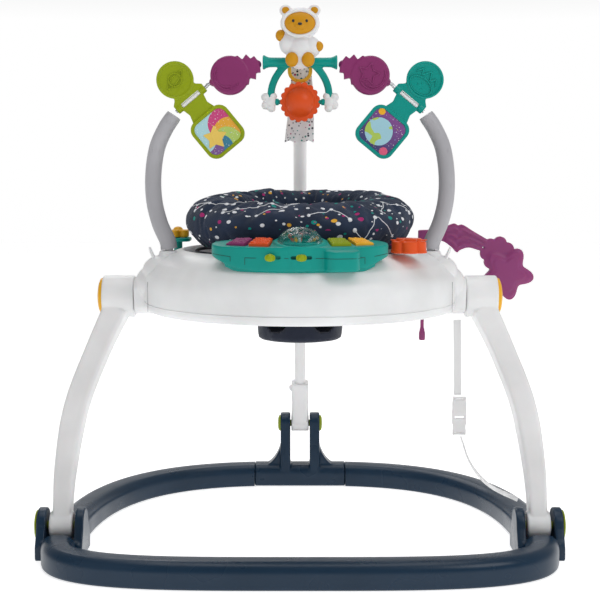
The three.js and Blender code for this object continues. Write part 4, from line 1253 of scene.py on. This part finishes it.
def build_flower():
    x, y, z = FLOWER
    leaf = prism_mesh(petals(3, 15, 27, 16, 0.7), z + 0.4, z + 6.6)
    rod = lathe_mesh([(0, 444), (7, 444), (7, z), (4.5, z + 2), (2.6, z + 6), (2.6, z + 16), (0, z + 16)], 32)
    piece("flower_leaf", *moved(merged(leaf, rod), at(x, y, 0)), "teal_plastic", "tray", "flower_stem",
          bevel=2.2, segments=4)
    head = [moved(prism_mesh(petals(5, 11, 20, 16, 0.7), z + 7.4, z + 19), at(x, y, 0))]
    head.append(egg_mesh(8, 8, 5.5, (x, y, z + 19), 28))
    fused("flower_head", head, "yellow_plastic", "flower", 0.8, "flower", relax=6)


def build_roller():
    x, y = ROLLER
    drum = moved(prism_mesh(petals(6, 21.5, 27, 16, 0.55), 466.6, 484), at(x, y, 0))
    brim = moved(prism_mesh(petals(6, 22.5, 28, 16, 0.55), 466.6, 470), at(x, y, 0))
    cap = moved(prism_mesh(petals(6, 15, 20, 16, 0.6), 483, 488), at(x, y, 0))
    grooves = [moved(bar_mesh(1.3, 27, 0.4, 12), at(x, y, 485.5) @ turn("Z", 60 * k + 60) @ ACROSS)
               for k in range(6)]
    fused("roller_drum", [drum, brim, cap, *grooves], "orange_plastic", "roller", 0.9, "roller", relax=5)


def build_teether():
    """A soft shooting star: a flared tail, a cloud behind and the star in front, on its long peg."""
    x, y, z = TEETHER
    place = at(x, y, z) @ UPRIGHT
    star_at = lambda share: [((37 + 8 * math.cos(5 * (a + 1.45))) * share * math.cos(a) + 140,
                              (37 + 8 * math.cos(5 * (a + 1.45))) * share * math.sin(a) - 64)
                             for a in full_turn(150)]
    parts = [prism_mesh(star_at(1), -7.4, 7.4), prism_mesh(star_at(0.9), -9.4, 9.4),
             prism_mesh(star_at(0.66), -10.6, 10.6)]
    cloud = [(px + 124, py - 32) for px, py in petals(7, 22.5, 29, 14, 0.55)]
    parts.append(prism_mesh(cloud, -6.4, 6.4))
    edge_top = smooth_path([(-8, 7, 0), (26, 9, 0), (50, 18, 0), (58, 15, 0), (66, 16, 0), (84, 5, 0),
                            (108, -9, 0)], 60)
    edge_low = smooth_path([(-8, -9, 0), (28, -10, 0), (46, -20, 0), (56, -30, 0), (62, -26, 0),
                            (76, -22, 0), (94, -27, 0)], 60)
    parts.append(prism_mesh([(p.x, p.y) for p in edge_top] + [(p.x, p.y) for p in edge_low[::-1]], -5, 5))
    for k, share in enumerate((0.2, 0.5, 0.8)):
        ridge = [edge_top[i].lerp(edge_low[i], share) for i in range(14, 60, 3)]
        for face in (-5.2, 5.2):
            parts.append(sweep_mesh([p + Vector((0, 0, face)) for p in ridge], disc(2.1, 12), (0, 0, 1)))
    parts = [moved(m, place) for m in parts]
    parts.append(moved(bar_mesh(3.2, z - TEETHER_FOOT, 1, 24), at(x, y, TEETHER_FOOT)))
    stop = lathe_mesh([(0, 0), (4.6, 0), (5.4, 1), (5.4, 13), (4.4, 15), (4.4, 19), (3, 20), (0, 20)], 32)
    parts.append(moved(stop, at(x, y, TEETHER_FOOT)))
    fused("teether_star", parts, "purple_plastic", "teether", 1.2, "teether", material=RUBBER, relax=7)


# ---------------------------------------------------------------------- arch
def build_arms():
    for side, sign in SIDES:
        path = smooth_path([(sign * x, ARCH_Y, z) for x, z in
                            ((203, 465.6), (205, 478), (217, 506), (225, 541), (226, 580), (220, 620),
                             (207, 650), (193, 671))], 120)
        taper = lambda t: 1 - 0.06 * math.exp(-((t - 1) / 0.02) ** 2) + 0.05 * (1 - t)
        tube = sweep_mesh(path, disc(12.2, 48), (0, 1, 0), scale=taper)
        marks = []
        for t, size in ((0.16, 6.2), (0.2, 3.4), (0.34, 3), (0.52, 4.6), (0.7, 5.6), (0.84, 3.4),
                        (0.92, 2.6)):
            p = path[int(t * 119)]
            ring = lathe_mesh([(size - 0.45, -0.5), (size + 0.45, -0.5), (size + 0.25, 0.35),
                               (size - 0.25, 0.35)], 28, closed=True)
            marks.append(moved(ring, at(p.x, p.y - 12.1 + size * size / 50, p.z) @ UPRIGHT))
        piece(f"{side}_arm_sleeve", *merged(tube, *marks), "grey_soft", "tray", f"{side}_arm", bevel=1.6,
              angle=50)
        foot = path[0]
        collar = lathe_mesh([(0, -4), (5.5, -4), (6.5, -3), (6.5, 1.5), (0, 1.5)], 32)
        piece(f"{side}_arm_spigot", *moved(collar, at(foot.x, foot.y, foot.z)), "white_plastic", "tray",
              angle=40)


CHARM = dict(x=-167, z=695, angle=math.degrees(math.atan2(38, 46)), half=27.8)
BEAD = dict(x=-99, z=734.5, angle=math.degrees(math.atan2(31, 78)), half=42)


def build_rods():
    for side, sign in SIDES:
        path = smooth_path([(-sign * x, ARCH_Y, z)
                            for x, z in ((-190, 676), (-167, 695), (-144, 714), (-138, 719), (-99, 734.5),
                                         (-60, 750))], 80)
        piece(f"{side}_arch_wire", *sweep_mesh(path, disc(2.6, 20), (0, 1, 0)), "steel", "tray",
              f"{side}_arch_rod", angle=60)


def relief(outline, low, high, width=1.4):
    """A raised line round an outline, standing on a face at height `low`."""
    middle = [sum(p[0] for p in outline) / len(outline), sum(p[1] for p in outline) / len(outline)]
    def grown(amount):
        out = []
        for px, py in outline:
            d = math.hypot(px - middle[0], py - middle[1]) or 1
            out.append((px + (px - middle[0]) / d * amount, py + (py - middle[1]) / d * amount))
        return out
    return band_mesh(grown(width / 2), grown(-width / 2), low, high)


def build_charm(side, sign):
    colour = "lime_plastic" if sign < 0 else "teal_plastic"
    body = f"{side}_charm"
    place = at(-sign * CHARM["x"], ARCH_Y, CHARM["z"]) @ turn("Y", sign * CHARM["angle"])
    flat = place @ UPRIGHT
    half = CHARM["half"]
    round_plate = [moved(prism_mesh(disc(28.5, 96, cy=38), -5.2, 3.6), flat),
                   moved(band_mesh(disc(28.5, 96, cy=38), disc(25, 96, cy=38), 3, 5.6), flat)]
    tab = [(-half, 3.2), (half, 3.2), (half, 8), (21, 14), (17, 22), (-17, 22), (-21, 14), (-half, 8)]
    round_plate.append(moved(prism_mesh(tab, -4, 4), flat))
    ends = [moved(bar_mesh(6.3, 9, 1.2, 36), place @ at(x, 0, 0) @ ACROSS) for x in (-half, half - 9)]
    lower = [(-19, 5.2), (19, 5.2), (19.5, -8), (17, -18), (22, -34), (-22, -34), (-17, -18), (-19.5, -8)]
    neck = moved(prism_mesh(lower, -3.6, 3.6), flat)
    window = moved(prism_mesh(rounded_rect(34, 7.6, 1.5, cy=0.4), -9, 9), flat)
    plate = moved(prism_mesh(rounded_rect(68, 68, 16, 12, cy=-64), -5.4, 4.4), flat)
    rim = moved(band_mesh(rounded_rect(68, 68, 16, 12, cy=-64), rounded_rect(58, 58, 12, 12, cy=-64), 3.6,
                          6.6), flat)
    case = fused(f"{side}_charm_case", [*round_plate, *ends, neck, plate, rim], colour, body, 0.8,
                 f"{side}_charm", relax=5)
    bpy.context.view_layer.update()
    settle(case)
    hollow(case, window)
    axle = moved(bar_mesh(3.4, 36, 0.8, 28), place @ at(-18, 0, 0) @ ACROSS)
    piece(f"{side}_charm_bush", *axle, "white_plastic", body, angle=40)
    build_relief(side, sign, flat, colour, body)
    build_picture(side, sign, flat, body)


def build_relief(side, sign, flat, colour, body):
    """The raised drawing on the round plate: a ringed planet on one side, peaks on the other."""
    low, high = 3.2, 5.6
    parts = []
    if sign < 0:
        parts.append(relief(disc(10, 48, cy=38), low, high, 1.9))
        ellipse = [(17 * math.cos(a) * 0.97 - 4.2 * math.sin(a) * 0.25,
                    38 + 4.6 * math.sin(a) + 4 * math.cos(a))
                   for a in full_turn(60)]
        parts.append(relief(ellipse, low, high, 1.9))
    else:
        peaks = [(-19, 40), (-13, 50), (-8, 41), (0, 54), (7, 41), (13, 49), (19, 40)]
        for a, b in zip(peaks, peaks[1:]):
            parts.append(sweep_mesh([(*a, low + 0.6), (*b, low + 0.6)], rounded_rect(2.1, 3.6, 0.6, 3),
                                    (0, 0, 1)))
        parts.append(relief([(19 * math.cos(a), 27 + 12 * math.sin(a)) for a in full_turn(48)], low, high,
                            1.9))
        parts += [moved(lathe_mesh([(0, 0), (1.5, 0), (1, 1.2), (0, 1.5)], 16), at(px, py, low))
                  for px, py in ((-5, 26), (4, 23), (0, 31))]
    piece(f"{side}_charm_relief", *moved(merged(*parts), flat), colour, body, bevel=0.35, segments=2)


def build_picture(side, sign, flat, body):
    """The printed plate and the plain shapes on it; the print stays level while the charm hangs askew."""
    centre = flat @ Vector((0, -64, 0))
    plate = moved(prism_mesh(rounded_rect(57, 57, 11.8, 12, cy=-64), 3.9, 5.1), flat)
    slot = "picture_sky" if sign < 0 else "picture_space"
    obj = piece(f"{side}_charm_print", *plate, slot, body, f"{side}_charm_picture", angle=40)
    layer = obj.data.uv_layers.new(name="print")
    for loop in obj.data.loops:
        p = obj.data.vertices[loop.vertex_index].co / MM - centre
        layer.data[loop.index].uv = (p.x / 28, p.z / 28)
    level = at(*centre) @ UPRIGHT

    def shape(name, outline, slot_name, high, material=None, low=4.6):
        piece(f"{side}_charm_{name}", *moved(prism_mesh(outline, low, high), level), slot_name, body,
              bevel=0.3, material=material)

    if sign < 0:
        shape("star", soft_star(5, 10.5, 19.5, 98, -3.5, -9), "yellow_plastic", 6.0, PRINT_STAR)
    else:
        shape("globe", disc(21.5, 96, cx=-5.5, cy=0.5), slot, 5.7, PRINT_GLOBE)
        shape("sun_disc", disc(5.4, 40, cx=-0.5, cy=31), "yellow_plastic", 5.7)
        shape("moon_disc", disc(6.4, 40, cx=1.5, cy=-30), slot, 5.7, PRINT_PINK)


def soft_star(points, inner, outer, rotation, cx, cy):
    """A star whose points are rounded off."""
    raw = star(points, inner, outer, rotation, cx, cy)
    out = []
    n = len(raw)
    for i in range(n):
        before, here, after = (Vector(raw[(i + k) % n]) for k in (-1, 0, 1))
        share = 0.16 if i % 2 == 0 else 0.1
        a, b = here.lerp(before, share), here.lerp(after, share)
        for t in (0, 0.25, 0.5, 0.75, 1):
            out.append(tuple(a.lerp(here, t).lerp(here.lerp(b, t), t)))
    return out


def build_spinner(side, sign):
    place = at(-sign * BEAD["x"], ARCH_Y, BEAD["z"]) @ turn("Y", sign * BEAD["angle"])
    flat = place @ UPRIGHT
    planet = moved(prism_mesh(disc(28.5, 96, cx=sign * 9), -9, 9), flat)
    rim = moved(prism_mesh(disc(29.8, 96, cx=sign * 9), -6.5, 6.5), flat)
    jags = [(-4, 22), (-13, 23.5), (-18, 15), (-26, 20.5), (-30, 11.5), (-36.5, 13.5), (-38.5, 7)]
    crown = [(sign * x, h) for x, h in jags] + [(sign * x, -h) for x, h in jags[::-1]]
    crown = moved(prism_mesh(crown, -7.8, 7.8), flat)
    knobs = [egg_mesh(5.6, 6.4, 6.4, (x, 0, 0), 28) for x in (-sign * 37, sign * 37)]
    knobs = [moved(k, place) for k in knobs]
    fused(f"{side}_spinner_body", [planet, rim, crown, *knobs], "purple_plastic", f"{side}_spinner", 0.9,
          f"{side}_spinner", relax=4)
    lines = []
    for face in (0, 180):
        facing = place @ turn("Z", face) @ UPRIGHT
        mirror = 1 if face == 0 else -1
        x0 = sign * 9 * mirror
        for k, radius in enumerate((25, 20, 16)):
            shift = sign * mirror * (3 + 3.2 * k)
            start, end = (-150, 70) if sign * mirror > 0 else (110, 330)
            path = [(x0 + shift * 0.6 + radius * math.cos(t), radius * math.sin(t), 9.2)
                    for t in np.radians(np.linspace(start + 14 * k, end - 26 * k, 36))]
            if all(math.hypot(px - x0, py) < 26.5 for px, py, _ in path):
                lines.append(moved(sweep_mesh(path, disc(1.3, 10), (0, 0, 1)), facing))
        if sign > 0:
            outline = soft_star(5, 8.5, 17, 96, x0 - 3 * mirror, 1)
            path = [(px, py, 9.2) for px, py in outline]
            lines.append(moved(sweep_mesh(path, disc(1.3, 10), (0, 0, 1), closed=True), facing))
    piece(f"{side}_spinner_relief", *merged(*lines), "purple_plastic", f"{side}_spinner", angle=180)


def build_yoke():
    z = 751
    profile = [(0, -57), (10, -57), (11, -56), (11, -54.6), (9, -51.5), (7.6, -47), (7.4, -40), (7.4, 40),
               (7.6, 47),
               (9, 51.5), (11, 54.6), (11, 56), (10, 57), (0, 57)]
    bar = moved(lathe_mesh(profile, 56), at(0, ARCH_Y, z) @ ACROSS)
    arcs = []
    for sign in (-1, 1):
        path = smooth_path([(sign * 12, ARCH_Y, z + 1), (sign * 24, ARCH_Y, z - 6),
                            (sign * 36, ARCH_Y, z - 21),
                            (sign * 43, ARCH_Y, z - 38), (sign * 45, ARCH_Y, 694)], 40)
        arcs.append(sweep_mesh(path, rounded_rect(11, 9, 3.4, 5), (0, 1, 0)))
    axle = moved(bar_mesh(3.4, 94, 1, 24), at(-47, ARCH_Y, 691) @ ACROSS)
    stops = [moved(bar_mesh(5, 8, 1, 24), at(x, ARCH_Y, 691) @ ACROSS) for x in (-40.5, 32.5)]
    fused("yoke_bar", [bar, *arcs], "teal_plastic", "tray", 1.0, "toy_yoke", relax=4)
    piece("yoke_axle", *merged(axle, *stops), "teal_plastic", "tray", angle=40)
    for side, sign in SIDES:
        x = sign * 45
        puffs = [egg_mesh(9.6, 7.2, 9, (x, ARCH_Y, 691), 24),
                 egg_mesh(7.2, 6.2, 7, (x + sign * 7.5, ARCH_Y, 698), 20),
                 egg_mesh(6.6, 6, 6.6, (x + sign * 7.5, ARCH_Y, 686), 20),
                 egg_mesh(6.6, 6, 6.6, (x - sign * 1, ARCH_Y, 682), 20),
                 egg_mesh(6.4, 5.8, 6.2, (x - sign * 3.5, ARCH_Y, 699.5), 20)]
        fused(f"{side}_cloud_bead", puffs, "white_plastic", "tray", 0.7, f"{side}_cloud", relax=3)


def build_sun():
    place = at(0, ARCH_Y, 691)
    rim = moved(prism_mesh(petals(17, 26.4, 31, 12, 0.6), -5, 5), place @ UPRIGHT)
    lens = egg_mesh(23.8, 23.8, 23.8, (0, ARCH_Y, 691), 64)
    fused("sun_wheel", [rim, lens], "orange_plastic", "sun", 0.8, "sun", relax=5)


# -------------------------------------------------------------------- figure
def build_figure():
    """A seated bear in a white suit; its own plain face, and paws that stand off the suit."""
    y = ARCH_Y - 4
    grown = at(0, y, 738) @ Matrix.Diagonal((1.17, 1.06, 1.075, 1)) @ at(0, -y, -738)
    suit = [egg_mesh(18.5, 14.5, 25, (0, y - 12, 764)), egg_mesh(25.5, 20.5, 22.5, (0, y - 11, 803)),
            egg_mesh(13, 10, 17, (-14, y - 13, 776)), egg_mesh(13, 10, 15, (14, y - 13, 770))]
    for sign in (-1, 1):
        suit.append(moved(bar_mesh(8.2, 7, 2.4, 36), at(sign * 18.5, y - 8.5, 821) @ UPRIGHT))
    suit = [moved(m, grown) for m in suit]
    fused("figure_suit", suit, "toy_white", "tray", 0.9, "toy_figure", relax=6)
    collar = [(22 * math.cos(a), y - 28.2, 802 + 17.4 * math.sin(a)) for a in full_turn(72)]
    edge = sweep_mesh(collar, disc(2.3, 14), (0, 1, 0), closed=True)
    piece("figure_hood_edge", *moved(edge, grown), "toy_white", "tray", angle=180)
    face = [moved(egg_mesh(20.5, 9.5, 16, (0, y - 26, 802), 56), grown),
            moved(egg_mesh(7.5, 4.5, 5.4, (0, y - 33.5, 797.5), 36), grown)]
    fused("figure_face", face, "ochre_plastic", "tray", 0.7, "toy_face", relax=4)
    limbs = [egg_mesh(6.6, 6.2, 8.2, (-25, y - 15, 786), 28), egg_mesh(6.2, 6, 7.2, (24, y - 16, 771), 28),
             egg_mesh(8.4, 7, 10.4, (-10.5, y - 25, 752), 28),
             egg_mesh(8.4, 7, 10.4, (10.5, y - 25, 752), 28)]
    piece("figure_paws", *moved(merged(*limbs), grown), "ochre_plastic", "tray", angle=180)
    ears = [moved(bar_mesh(4.8, 2, 0.8, 28), at(sign * 18.5, y - 14.6, 821) @ UPRIGHT) for sign in (-1, 1)]
    piece("figure_ear_linings", *moved(merged(*ears), grown), "ochre_plastic", "tray", angle=40)
    features = [egg_mesh(1.7, 1.3, 2.1, (sign * 8.6, y - 34.6, 804.5), 20) for sign in (-1, 1)]
    features.append(egg_mesh(2.9, 1.9, 2.0, (0, y - 37.6, 800.2), 24))
    piece("figure_features", *moved(merged(*features), grown), "ochre_plastic", "tray", material=DARK,
          angle=180)


def build_clip():
    outer, inner = rounded_rect(38, 111, 18, 14), rounded_rect(27, 100, 12.5, 14)
    mesh = moved(band_mesh(outer, inner, -4, 4), at(0, ARCH_Y + 17, 776.5) @ UPRIGHT)
    piece("clip_loop", *mesh, "yellow_plastic", "tray", "toy_clip", bevel=1.8, segments=4, angle=40)


def build_ribbon():
    """Two tails of speckled cloth, gathered behind the figure and folded as they hang."""
    columns, rows = 40, 80
    verts = []
    for j in range(rows + 1):
        t = j / rows
        width = 29 + 16 * t ** 0.8
        for i in range(columns + 1):
            u = i / columns - 0.5
            x = u * width + 2.5 * math.sin(3.1 * t + 0.6)
            fold = 3.4 * math.sin(u * 9 + 2.2 * t) * (0.35 + 0.9 * t) + 1.8 * math.sin(7 * t + 3 * u)
            zigzag = 7 * abs(((u + 0.5) * 3) % 1 - 0.5) * t
            z = 744 - 114 * t - zigzag + 3.5
            verts.append((x, ARCH_Y + 38 + fold, z))
    faces = [[j * (columns + 1) + i, j * (columns + 1) + i + 1, (j + 1) * (columns + 1) + i + 1,
              (j + 1) * (columns + 1) + i]
             for j in range(rows) for i in range(columns)]
    ribbon = piece("ribbon_cloth", verts, faces, "ribbon_fabric", "tray", "toy_ribbon", angle=180)
    thick = ribbon.modifiers.new("Thickness", "SOLIDIFY")
    thick.thickness = 0.0009
    thick.offset = 0


def main():
    build_stage()
    build_strap()
    build_ring()
    build_feet()
    build_rear_bracket()
    build_legs()
    build_rear_leg()
    build_tray()
    build_tray_rear()
    build_seat_frame()
    build_pad()
    build_sling()
    build_console()
    build_flower()
    build_roller()
    build_teether()
    build_arms()
    build_rods()
    for side, sign in SIDES:
        build_charm(side, sign)
        build_spinner(side, sign)
    build_yoke()
    build_sun()
    build_figure()
    build_clip()
    build_ribbon()


main()
